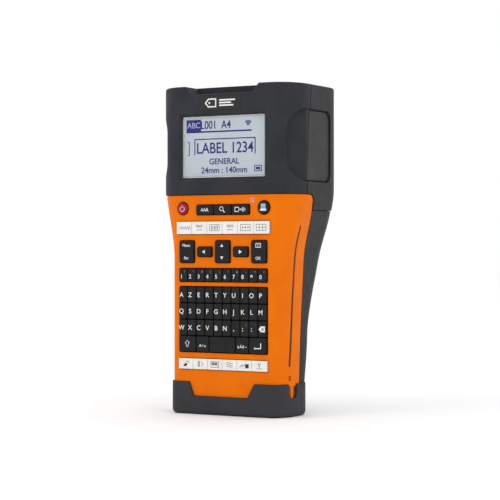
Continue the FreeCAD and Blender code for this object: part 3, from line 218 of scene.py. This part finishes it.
def piece(name, bm, body, material, smooth=35):
    """Turns a bmesh into an object that rides on a body."""
    bmesh.ops.recalc_face_normals(bm, faces=bm.faces)
    mesh = bpy.data.meshes.new(name)
    bm.to_mesh(mesh)
    bm.free()
    made = bpy.data.objects.new(name, mesh)
    bpy.context.scene.collection.objects.link(made)
    mesh.materials.append(material)
    for polygon in mesh.polygons:
        polygon.use_smooth = True
    mesh.set_sharp_from_angle(angle=radians(smooth))
    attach(made, body)
    return made


# silicone has a soft dull face; its grain is drawn at 0.25 mm, coarse enough to show
silicone_black = moulded("black_silicone_keys", "#18181A", "#1D1D20", 0.55,
                         0.25 * MM, 0.008 * MM, 6 * MM)
silicone_white = moulded("white_silicone_keys", "#DEDCD8", "#E8E6E2", 0.50,
                         0.25 * MM, 0.006 * MM, 6 * MM)
silicone_red = moulded("dark_red_silicone_key", "#7E1428", "#971C33", 0.48,
                       0.25 * MM, 0.008 * MM, 6 * MM)


def spans(node, units, split):
    """Left and right edges of the caps that share one CAD node."""
    low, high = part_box(node)
    pitch = (high.x - low.x + split) / sum(units)
    found, x = [], low.x
    for unit in units:
        found.append((x, x + unit * pitch - split))
        x += unit * pitch
    return found


def caps(node, material, units=(1,), split=0.5 * MM, radius=0.9 * MM, edge=0.5 * MM):
    """Replaces a CAD key node by moulded caps and returns their middles."""
    low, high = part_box(node)
    bm = bmesh.new()
    for x0, x1 in spans(node, units, split):
        cap(bm, x0, x1, low.z, high.z, low.y, high.y, radius, edge)
    made = piece(node + "_caps", bm, node, material)
    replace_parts(made, node)
    return [((x0 + x1) / 2, (low.z + high.z) / 2) for x0, x1 in spans(node, units, split)]


SINGLE_KEYS = ["font_key", "preview_key", "feed_key", "menu_key", "left_key", "up_down_key",
               "right_key", "ok_key", "shift_key", "accent_key", "space_key", "symbol_key",
               "enter_key", "backspace_key"]
TEN = [1] * 10
middles = {}
for part in SINGLE_KEYS:
    middles[part] = caps(part, silicone_black, radius=1.4 * MM)
for part in ("number_keys", "letter_row_1", "letter_row_2"):
    middles[part] = caps(part, silicone_black, TEN)
middles["letter_row_3"] = caps("letter_row_3", silicone_black, TEN[:9])
for part in ("format_keys", "label_type_keys"):
    middles[part] = caps(part, silicone_white, [1] * 6, 0.07 * MM, 0.3 * MM, 0.15 * MM)


def round_cap(node, material):
    low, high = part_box(node)
    bm = bmesh.new()
    cap(bm, low.x, high.x, low.z, high.z, low.y, high.y, (high.x - low.x) / 2 * 0.999,
        0.8 * MM)
    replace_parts(piece(node + "_cap", bm, node, material, 50), node)
    middles[node] = [((low.x + high.x) / 2, (low.z + high.z) / 2)]


round_cap("power_key", silicone_red)
round_cap("print_key", silicone_black)

# ---- Legends
# Pad-printed ink on the caps and on the keyboard face: letters and digits, and simple signs.
def stroke(bm, points, width, y, closed=False):
    """Flat line of ink through points in the X-Z plane."""
    points = [Vector((x, z)) for x, z in points]
    count = len(points)
    rails = []
    for i, p in enumerate(points):
        before = points[i - 1] if (i or closed) else p
        after = points[(i + 1) % count] if (i + 1 < count or closed) else p
        way_in = (p - before).normalized() if p != before else (after - p).normalized()
        way_out = (after - p).normalized() if after != p else way_in
        along = (way_in + way_out).normalized() if (way_in + way_out).length > 0.01 else way_in
        across = Vector((-along.y, along.x))
        stretch = min(1 / max(along.dot(way_in), 0.35), 2.0)
        rails.append([bm.verts.new((q.x, y, q.y)) for q in
                      (p + across * width / 2 * stretch, p - across * width / 2 * stretch)])
    for i in range(count if closed else count - 1):
        j = (i + 1) % count
        bm.faces.new((rails[i][0], rails[i][1], rails[j][1], rails[j][0]))


def blot(bm, points, y):
    """Filled shape of ink."""
    bm.faces.new([bm.verts.new((x, y, z)) for x, z in points])


def arc(x, z, radius, start=0, end=360, steps=20):
    """Points along an arc, in degrees, anticlockwise from +X."""
    return [(x + radius * cos(radians(start + (end - start) * i / steps)),
             z + radius * sin(radians(start + (end - start) * i / steps))) for i in range(steps + 1)]


def shift(points, x, z, scale=MM):
    return [(x + a * scale, z + b * scale) for a, b in points]


def letters(bm, text, x, z, y, size, weight=0.0, squeeze=1.0):
    """Text centred on a point, facing the user."""
    curve = bpy.data.curves.new("text", "FONT")
    curve.body = text
    curve.size = size
    curve.align_x = "CENTER"
    curve.align_y = "CENTER"
    curve.offset = weight
    holder = bpy.data.objects.new("text", curve)
    bpy.context.scene.collection.objects.link(holder)
    bpy.context.view_layer.update()
    mesh = bpy.data.meshes.new_from_object(holder)
    mesh.transform(Matrix.Translation((x, y, z)) @ Matrix.Rotation(pi / 2, 4, "X")
                   @ Matrix.Diagonal((squeeze, 1, 1, 1)))
    bm.from_mesh(mesh)
    bpy.data.objects.remove(holder)
    bpy.data.curves.remove(curve)
    bpy.data.meshes.remove(mesh)


INK = 0.06 * MM                      # thickness of the film
PROUD = 0.01 * MM                    # how far it stands out of the cap


def print_piece(name, bm, body, material):
    """Gives the ink its thickness and lets it ride on the key."""
    faces = bm.faces[:]
    made = bmesh.ops.extrude_face_region(bm, geom=faces)
    moved = [v for v in made["geom"] if isinstance(v, bmesh.types.BMVert)]
    bmesh.ops.translate(bm, verts=moved, vec=(0, -INK, 0))
    return piece(name, bm, body, material, 20)


def ink(name, dark, light):
    """Pad-printing ink: a thin dull film, hardly rougher than the cap under it."""
    return moulded(name, dark, light, 0.55, 0.2 * MM, 0.004 * MM, 4 * MM)


white_ink = ink("white_pad_print_ink", "#D9DADB", "#E6E6E6")
faint_ink = ink("grey_pad_print_ink", "#7C7D80", "#8A8B8E")
dark_ink = ink("dark_grey_pad_print_ink", "#2E3033", "#3C3E42")
pink_ink = ink("pale_pink_pad_print_ink", "#E9B4C4", "#F2C8D3")
blue_ink = ink("pale_blue_pad_print_ink", "#C9D2F2", "#DCE2F7")
violet_ink = ink("pale_violet_pad_print_ink", "#A98FB8", "#B79DC4")


def face_y(node):
    """Back of the ink on a key: it sinks into the dished face and stands 0.01 mm proud."""
    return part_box(node)[0].y + INK - PROUD


LETTER_HEIGHT = 5.0 * MM
LETTER_LEFT = -1.45 * MM             # the letter stands left of the cap's middle
for part, text, small in (("number_keys", "1234567890", "!?#()/&-+="),
                          ("letter_row_1", "AZERTYUIOP", "          "),
                          ("letter_row_2", "QSDFGHJKLM", "          "),
                          ("letter_row_3", "WXCVBN,;:", "      .!'")):
    y = face_y(part)
    main, extra = bmesh.new(), bmesh.new()
    drop = -1.3 * MM if part == "number_keys" else -0.3 * MM
    height = 4.3 * MM if part == "number_keys" else LETTER_HEIGHT
    for (x, z), sign, second in zip(middles[part], text, small):
        letters(main, sign, x + LETTER_LEFT, z + drop, y, height, 0.045 * MM)
        if second != " ":
            letters(extra, second, x + 1.6 * MM, z + 2.6 * MM, y, 2.6 * MM, 0.015 * MM)
    print_piece(part + "_letters", main, part, white_ink)
    if small.strip():
        print_piece(part + "_second_signs", extra, part, faint_ink)


def legend(part, draw, material, name="sign"):
    """Draws a sign at the middle of a key."""
    bm = bmesh.new()
    x, z = middles[part][0]
    draw(bm, x, z, face_y(part))
    print_piece(part + "_" + name, bm, part, material)


def triangle(bm, x, z, y, size, turn):
    blot(bm, [(x + size * cos(radians(turn + a)), z + size * sin(radians(turn + a)))
              for a in (0, 120, 240)], y)


def draw_power(bm, x, z, y):
    stroke(bm, arc(x, z - 0.3 * MM, 2.0 * MM, 130, 410), 0.55 * MM, y)
    stroke(bm, shift([(0, 0.4), (0, 2.7)], x, z), 0.6 * MM, y)


def draw_printer(bm, x, z, y):
    stroke(bm, shift([(-1.6, -0.6), (-1.6, 2.4), (1.6, 2.4), (1.6, -0.6)], x, z), 0.5 * MM, y, True)
    for row in (1.5, 0.4):
        stroke(bm, shift([(-1.0, row), (1.0, row)], x, z), 0.5 * MM, y)
    blot(bm, shift([(-2.6, -2.5), (2.6, -2.5), (2.6, -1.0), (-2.6, -1.0)], x, z), y)


def draw_font(bm, x, z, y):
    for i, size in enumerate((3.2, 3.6, 4.0)):
        letters(bm, "A", x + (i - 1) * 2.2 * MM, z - 0.1 * MM, y, size * MM, 0.03 * MM)


def draw_glass(bm, x, z, y):
    stroke(bm, arc(x - 0.6 * MM, z + 0.7 * MM, 1.5 * MM)[:-1], 0.45 * MM, y, True)
    stroke(bm, shift([(0.5, -0.4), (2.2, -2.1)], x, z), 0.7 * MM, y)


def draw_feed(bm, x, z, y):
    tag = shift([(-4.4, -1.6), (-4.4, 1.6), (-1.4, 1.6), (-0.5, 0), (-1.4, -1.6)], x, z)
    stroke(bm, tag, 0.5 * MM, y, True)
    triangle(bm, x + 0.9 * MM, z, y, 0.9 * MM, 0)
    stroke(bm, arc(x + 2.6 * MM, z + 0.9 * MM, 0.6 * MM)[:-1], 0.35 * MM, y, True)
    stroke(bm, arc(x + 2.6 * MM, z - 0.9 * MM, 0.6 * MM)[:-1], 0.35 * MM, y, True)
    stroke(bm, shift([(3.1, 0.6), (4.7, -0.9)], x, z), 0.4 * MM, y)
    stroke(bm, shift([(3.1, -0.6), (4.7, 0.9)], x, z), 0.4 * MM, y)


def draw_menu(bm, x, z, y):
    letters(bm, "Menu", x, z + 4.7 * MM, y, 3.1 * MM, 0.03 * MM)
    letters(bm, "Esc", x, z - 4.9 * MM, y, 3.1 * MM, 0.03 * MM)


def draw_ok(bm, x, z, y):
    stroke(bm, shift([(-2.1, 3.2), (-2.1, 6.2), (2.1, 6.2), (2.1, 3.2)], x, z), 0.4 * MM, y, True)
    stroke(bm, shift([(-0.7, 3.2), (-0.7, 6.2)], x, z), 0.35 * MM, y)
    stroke(bm, shift([(0.3, 4.0), (1.4, 4.0)], x, z), 0.35 * MM, y)
    stroke(bm, shift([(0.3, 5.2), (1.4, 5.2)], x, z), 0.35 * MM, y)
    letters(bm, "OK", x, z - 5.0 * MM, y, 3.1 * MM, 0.03 * MM)


def draw_up_down(bm, x, z, y):
    triangle(bm, x, z + 4.4 * MM, y, 1.5 * MM, 90)
    triangle(bm, x, z - 4.4 * MM, y, 1.5 * MM, 270)


def draw_backspace(bm, x, z, y):
    blot(bm, shift([(-3.0, 0), (-1.2, 2.2), (2.4, 2.2), (2.4, -2.2), (-1.2, -2.2)], x, z), y)


def draw_backspace_cross(bm, x, z, y):
    y -= 0.03 * MM
    stroke(bm, shift([(-0.6, 1.1), (1.5, -1.1)], x, z), 0.45 * MM, y)
    stroke(bm, shift([(-0.6, -1.1), (1.5, 1.1)], x, z), 0.45 * MM, y)


def draw_shift(bm, x, z, y):
    arrow = shift([(0, 2.6), (2.0, 0.6), (1.0, 0.6), (1.0, -1.2), (-1.0, -1.2), (-1.0, 0.6),
                   (-2.0, 0.6)], x, z)
    stroke(bm, arrow, 0.35 * MM, y, True)
    stroke(bm, shift([(-1.0, -2.2), (1.0, -2.2)], x, z), 0.4 * MM, y)


def draw_accent(bm, x, z, y):
    letters(bm, "A", x - 2.0 * MM, z - 1.2 * MM, y, 3.2 * MM, 0.03 * MM)
    letters(bm, "a", x + 2.3 * MM, z - 1.2 * MM, y, 3.2 * MM, 0.03 * MM)
    for row in (-0.7, -1.5):
        stroke(bm, shift([(-0.5, row), (0.8, row)], x, z), 0.3 * MM, y)


def draw_symbol(bm, x, z, y):
    for i, sign in enumerate(("\u00e4", "\u00c4", "\u00df", "~")):
        letters(bm, sign, x + (i - 1.5) * 2.2 * MM, z - 1.2 * MM, y, 3.0 * MM, 0.03 * MM)


def draw_enter(bm, x, z, y):
    stroke(bm, shift([(2.6, 2.0), (2.6, -2.0), (-2.4, -2.0)], x, z), 0.7 * MM, y)
    blot(bm, shift([(-3.4, -2.0), (-2.0, -1.0), (-2.0, -3.0)], x, z), y)


legend("power_key", draw_power, pink_ink)
legend("print_key", draw_printer, blue_ink)
legend("font_key", draw_font, white_ink)
legend("preview_key", draw_glass, white_ink)
legend("feed_key", draw_feed, white_ink)
legend("menu_key", draw_menu, white_ink)
legend("ok_key", draw_ok, white_ink)
legend("up_down_key", draw_up_down, white_ink)
legend("left_key", lambda bm, x, z, y: triangle(bm, x, z, y, 1.7 * MM, 180), white_ink)
legend("right_key", lambda bm, x, z, y: triangle(bm, x, z, y, 1.7 * MM, 0), white_ink)
legend("backspace_key", draw_backspace, white_ink)
legend("backspace_key", draw_backspace_cross, dark_ink, "cross")
legend("shift_key", draw_shift, blue_ink)
legend("accent_key", draw_accent, white_ink)
legend("symbol_key", draw_symbol, white_ink)
legend("enter_key", draw_enter, white_ink)


def format_signs():
    """Six small line signs on the upper strip: framed text, tables and bars."""
    y = face_y("format_keys")
    bm = bmesh.new()
    for i, (x, z) in enumerate(middles["format_keys"]):
        if i in (2, 4, 5):
            border = shift([(-4.2, -2.3), (-4.2, 2.3), (4.2, 2.3), (4.2, -2.3)], x, z)
            stroke(bm, border, 0.3 * MM, y, True)
        if i == 0:
            for k in range(5):
                peak = shift([(-4 + 2 * k, -1.2), (-3 + 2 * k, 1.2), (-2 + 2 * k, -1.2)], x, z)
                stroke(bm, peak, 0.25 * MM, y)
        elif i in (1, 3):
            letters(bm, "TEXT", x, z + 1.0 * MM, y, 2.6 * MM, 0.03 * MM)
            stroke(bm, shift([(-2.6, -1.6), (2.6, -1.6)], x, z), 0.35 * MM, y)
        elif i == 2:
            for k in range(5):
                stroke(bm, shift([(-2.6 + 1.3 * k, -1.5), (-2.6 + 1.3 * k, 1.5)], x, z), 0.45 * MM, y)
        elif i == 4:
            for k in range(3):
                triangle(bm, x + (k - 1) * 2.4 * MM, z, y, 0.9 * MM, 90)
        else:
            stroke(bm, shift([(-4.2, 0), (4.2, 0)], x, z), 0.25 * MM, y)
            for k in (-1.4, 1.4):
                stroke(bm, shift([(k, -2.3), (k, 2.3)], x, z), 0.25 * MM, y)
    print_piece("format_keys_signs", bm, "format_keys", dark_ink)


def label_type_signs():
    """Six signs for kinds of label on the lower strip."""
    y = face_y("label_type_keys")
    bm = bmesh.new()
    middle = middles["label_type_keys"]
    x, z = middle[0]
    blot(bm, shift([(-2.4, -2.0), (0.2, -2.0), (1.6, -0.2), (-0.6, 0.4)], x, z), y)
    stroke(bm, arc(x + 1.4 * MM, z + 0.4 * MM, 1.5 * MM, 0, 150, 8), 0.35 * MM, y)
    x, z = middle[1]
    for k in (1.6, 0.0, -1.6):
        stroke(bm, arc(x - 1.2 * MM, z + k * MM, 0.6 * MM)[:-1], 0.35 * MM, y, True)
    stroke(bm, shift([(0.6, 1.8), (2.8, 0.2), (0.6, -1.6)], x, z), 0.3 * MM, y)
    x, z = middle[2]
    stroke(bm, shift([(-3.4, -2.2), (-3.4, 2.2), (3.4, 2.2), (3.4, -2.2)], x, z), 0.3 * MM, y, True)
    for k in range(4):
        blot(bm, shift([(-2.6 + 1.3 * k, -0.6), (-1.7 + 1.3 * k, -0.6), (-1.7 + 1.3 * k, 1.6),
                        (-2.6 + 1.3 * k, 1.6)], x, z), y)
    x, z = middle[3]
    for k in (1.6, 0.2, -1.2):
        stroke(bm, shift([(-2.8, k), (-1.0, k + 0.5), (1.0, k - 0.5), (2.8, k)], x, z), 0.28 * MM, y)
    x, z = middle[4]
    stroke(bm, shift([(-4.0, -1.4), (-2.2, 0.6), (-1.4, -0.8), (0.4, 1.0)], x, z), 0.35 * MM, y)
    blot(bm, shift([(0.8, -1.8), (3.8, -1.8), (3.8, 1.2), (0.8, 1.2)], x, z), y)
    x, z = middle[5]
    stroke(bm, shift([(-1.3, 2.2), (0, 0.6), (1.3, 2.2)], x, z), 0.4 * MM, y)
    stroke(bm, shift([(0, 0.6), (0, -1.0)], x, z), 0.4 * MM, y)
    stroke(bm, shift([(-2.4, -1.9), (2.4, -1.9)], x, z), 0.35 * MM, y)
    print_piece("label_type_keys_signs", bm, "label_type_keys", dark_ink)


format_signs()
label_type_signs()
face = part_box("keyboard_shell")[0].y
corner = bmesh.new()
stroke(corner, arc(25.2 * MM, 162.3 * MM, 1.7 * MM, 45, 405, 4)[:-1], 0.6 * MM, face + 0.05 * MM, True)
print_piece("keyboard_square_mark", corner, "chassis", violet_ink)

# ---- Display
# A reflective liquid crystal panel behind a clear acrylic window. The picture is dark blue-violet
# on a grey-blue ground.
def display_ground():
    material, tree, surface = shader("liquid_crystal_ground", "#A0ACB3", 0.35)
    place = add(tree, "ShaderNodeTexCoord")
    mottle(tree, surface, place, "#B9C4CB", "#C3CDD3", 60 * MM, 0.3, 0.7)
    return material


dress("display_panel", display_ground())
acrylic, _, _ = shader("clear_acrylic_window", "#0C0E12", 0.08, 1.49, Alpha=0.04)
dress("display_window", acrylic)
crystal_ink, _, _ = shader("dark_liquid_crystal_segments", "#1E1A78", 0.4)
pale_crystal, _, _ = shader("clear_liquid_crystal_segments", "#A9B2C8", 0.4)
low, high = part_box("display_panel")
panel_y = low.y - 0.02 * MM
centre_x, centre_z = (low.x + high.x) / 2, (low.z + high.z) / 2


def on_panel(points):
    """Points in millimetres from the middle of the panel."""
    return shift(points, centre_x, centre_z)


def words(bm, text, x, z, size, weight, squeeze=1.0, y=panel_y):
    letters(bm, text, centre_x + x * MM, centre_z + z * MM, y, size * MM, weight * MM, squeeze)


picture = bmesh.new()
blot(picture, on_panel([(-33.5, 12.0), (-20.5, 12.0), (-20.5, 21.0), (-33.5, 21.0)]), panel_y)
stroke(picture, on_panel([(-33.5, 11.6), (24.0, 11.6)]), 1.2 * MM, panel_y)
words(picture, "L001  A4", -7.5, 16.4, 8.5, 0.12, 0.85)
for radius in (1.2, 2.6, 4.0):
    wave = arc(centre_x + 21 * MM, centre_z + 14.6 * MM, radius * MM, 50, 130, 8)
    stroke(picture, wave, 1.0 * MM, panel_y)
frame_line = on_panel([(-26.0, -6.0), (-26.0, 6.0), (27.0, 6.0), (27.0, -6.0)])
stroke(picture, frame_line, 0.8 * MM, panel_y)
words(picture, "LABEL 1234", 0.5, -1.3, 11.5, 0.14, 0.88)
bracket = on_panel([(-32.5, -6.0), (-31.0, -6.0), (-31.0, 4.0), (-32.5, 4.0)])
stroke(picture, bracket, 0.6 * MM, panel_y)
words(picture, "GENERAL", 0.0, -11.3, 6.2, 0.10)
words(picture, "24mm : 140mm", 0.0, -17.9, 6.4, 0.10)
cell = on_panel([(26.5, -19.0), (26.5, -15.0), (32.5, -15.0), (32.5, -19.0)])
stroke(picture, cell, 0.6 * MM, panel_y, True)
blot(picture, on_panel([(27.6, -18.0), (31.4, -18.0), (31.4, -16.0), (27.6, -16.0)]), panel_y)
print_piece("display_picture", picture, "chassis", crystal_ink)
mark = bmesh.new()
words(mark, "ABC", -27.0, 16.5, 6.0, 0.04, y=panel_y - 0.03 * MM)
print_piece("display_inverted_sign", mark, "chassis", pale_crystal)

# ---- Badge plate
# A glossy black nameplate, left without a name: it shows a plain tag and three lines.
piano_black, _, _ = shader("piano_black_PMMA", "#0B0B0D", 0.12, 1.49)
dress("badge", piano_black)
low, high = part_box("badge")
badge_x, badge_z = (low.x + high.x) / 2, (low.z + high.z) / 2
sign = bmesh.new()
tag = shift([(-13.0, 0), (-10.4, 2.9), (-4.0, 2.9), (-4.0, -2.9), (-10.4, -2.9)], badge_x, badge_z)
sign_y = low.y + 0.04 * MM
stroke(sign, tag, 1.0 * MM, sign_y, True)
blot(sign, arc(badge_x - 9.6 * MM, badge_z, 0.8 * MM)[:-1], sign_y)
for row, end in ((1.9, 13.0), (-0.1, 9.5), (-2.1, 11.5)):
    stroke(sign, shift([(-1.0, row), (end, row)], badge_x, badge_z), 1.1 * MM, sign_y)
print_piece("badge_sign", sign, "chassis", white_ink)

# ---- Inner works
# What shows once the tape cover is off: the moulded bay, the cassette with its spools, nylon
# gears on steel pins, the rubber feed roller, the print head and the cutter.
bay_abs = moulded("grey_bay_ABS", "#1E1E20", "#262628", 0.5, 0.3 * MM, 0.01 * MM)
cassette_ps = moulded("smoke_grey_cassette_polystyrene", "#5D6064", "#686B70", 0.4,
                      0.3 * MM, 0.006 * MM)
acetal = moulded("natural_acetal_gears", "#DAD7CC", "#E6E3D8", 0.38, 0.2 * MM, 0.004 * MM, 5 * MM)
tape = moulded("white_laminated_tape", "#E6E4DC", "#F2F0EA", 0.35, 0.2 * MM, 0.003 * MM, 8 * MM)
film = moulded("black_ribbon_film", "#141416", "#1C1C1F", 0.25, 0.2 * MM, 0.002 * MM, 6 * MM)
roller_rubber = moulded("black_feed_roller_rubber", "#18181A", "#202022", 0.7,
                        0.3 * MM, 0.01 * MM, 6 * MM)
keypad_rubber = moulded("black_keypad_rubber", "#121214", "#18181B", 0.65, 0.4 * MM, 0.01 * MM)
circuit = moulded("green_solder_resist", "#0C4A2A", "#11603A", 0.3, 0.8 * MM, 0.01 * MM, 4 * MM)
battery_wrap = moulded("dark_blue_shrink_wrap", "#141C36", "#1B2545", 0.3, 1.2 * MM, 0.02 * MM)
backlight = moulded("white_diffuser_polycarbonate", "#E4E4E0", "#EEEEEA", 0.4, 0.3 * MM, 0.004 * MM)


def metal(name, colour, roughness, pitch):
    """Plated, drawn or turned metal with fine marks left by its tool."""
    material, tree, surface = shader(name, colour, roughness, metallic=1.0)
    place, _ = grain(tree, surface, pitch, 0.004 * MM, 0.25)
    rough_patches(tree, surface, place, roughness - 0.06, roughness + 0.08, 4 * MM)
    return material


zinc_steel = metal("zinc_plated_steel", "#B9BCC0", 0.32, 0.3 * MM)
aluminium = metal("extruded_aluminium", "#C8CACD", 0.35, 0.25 * MM)
brass = metal("turned_brass", "#C9A24B", 0.28, 0.2 * MM)
FINISHES = {bay_abs: ["bay_frame", "power_socket"], cassette_ps: ["cassette_shell"],
            acetal: ["drive_wheel", "idler_wheel", "ribbon_spindle"], tape: ["tape_roll"],
            film: ["ribbon_supply", "ribbon_take_up"], roller_rubber: ["platen_roller"],
            keypad_rubber: ["keypad_mat"], circuit: ["main_board"], battery_wrap: ["battery_pack"],
            backlight: ["display_frame"], aluminium: ["print_head"], brass: ["motor_pinion"],
            zinc_steel: ["cutter_blade", "cutter_anvil", "drive_motor", "screws", "roller_shaft",
                         "data_socket"]}
for material, parts in FINISHES.items():
    for part in parts:
        dress(part, material)

# ---- Stage
# A pale floor that runs out of sight, a soft white surround, a large soft light over the left
# shoulder of the viewer and a weaker one on the right. The camera stands level with the middle
# of the device, thirty degrees to its right.
floor_bm = bmesh.new()
bmesh.ops.create_circle(floor_bm, cap_ends=True, radius=9.0, segments=96)
floor_mesh = bpy.data.meshes.new("floor")
floor_bm.to_mesh(floor_mesh)
floor_bm.free()
floor = bpy.data.objects.new("floor", floor_mesh)
bpy.context.scene.collection.objects.link(floor)
floor_paint, _, _ = shader("white_floor_paint", "#FFFFFF", 0.9)
floor_mesh.materials.append(floor_paint)
floor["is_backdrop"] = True

world = bpy.data.worlds.new("studio")
world.use_nodes = True
world.node_tree.nodes["Background"].inputs["Color"].default_value = linear("#FFFFFF")
world.node_tree.nodes["Background"].inputs["Strength"].default_value = 1.0
bpy.context.scene.world = world
bpy.context.scene.view_settings.view_transform = "Standard"


def soft_light(name, place, aim, size, power):
    lamp = bpy.data.lights.new(name, "AREA")
    lamp.shape = "DISK"
    lamp.size = size
    lamp.energy = power
    holder = bpy.data.objects.new(name, lamp)
    bpy.context.scene.collection.objects.link(holder)
    holder.location = place
    holder.rotation_euler = (Vector(aim) - Vector(place)).to_track_quat("-Z", "Y").to_euler()


low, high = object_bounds()
middle_z = (low.z + high.z) / 2
soft_light("key_light", (-0.9, -1.3, 1.2), (0, 0, middle_z), 1.1, 4)
soft_light("fill_light", (1.6, -0.7, 0.7), (0, 0, middle_z), 1.2, 3)

BEARING = radians(30)                # how far the camera stands to the right of the front
DISTANCE = 1.2995
SIDESTEP = -0.26 * MM                # sets the object in the middle of the frame
lens = bpy.data.cameras.new("camera")
lens.lens = 120.67
lens.sensor_width = 36
lens.clip_start = 0.05
lens.clip_end = 50
camera = bpy.data.objects.new("camera", lens)
bpy.context.scene.collection.objects.link(camera)
camera.location = (DISTANCE * sin(BEARING) + SIDESTEP * cos(BEARING),
                   -DISTANCE * cos(BEARING) + SIDESTEP * sin(BEARING), middle_z)
camera.rotation_euler = (pi / 2, 0, BEARING)
bpy.context.scene.camera = camera
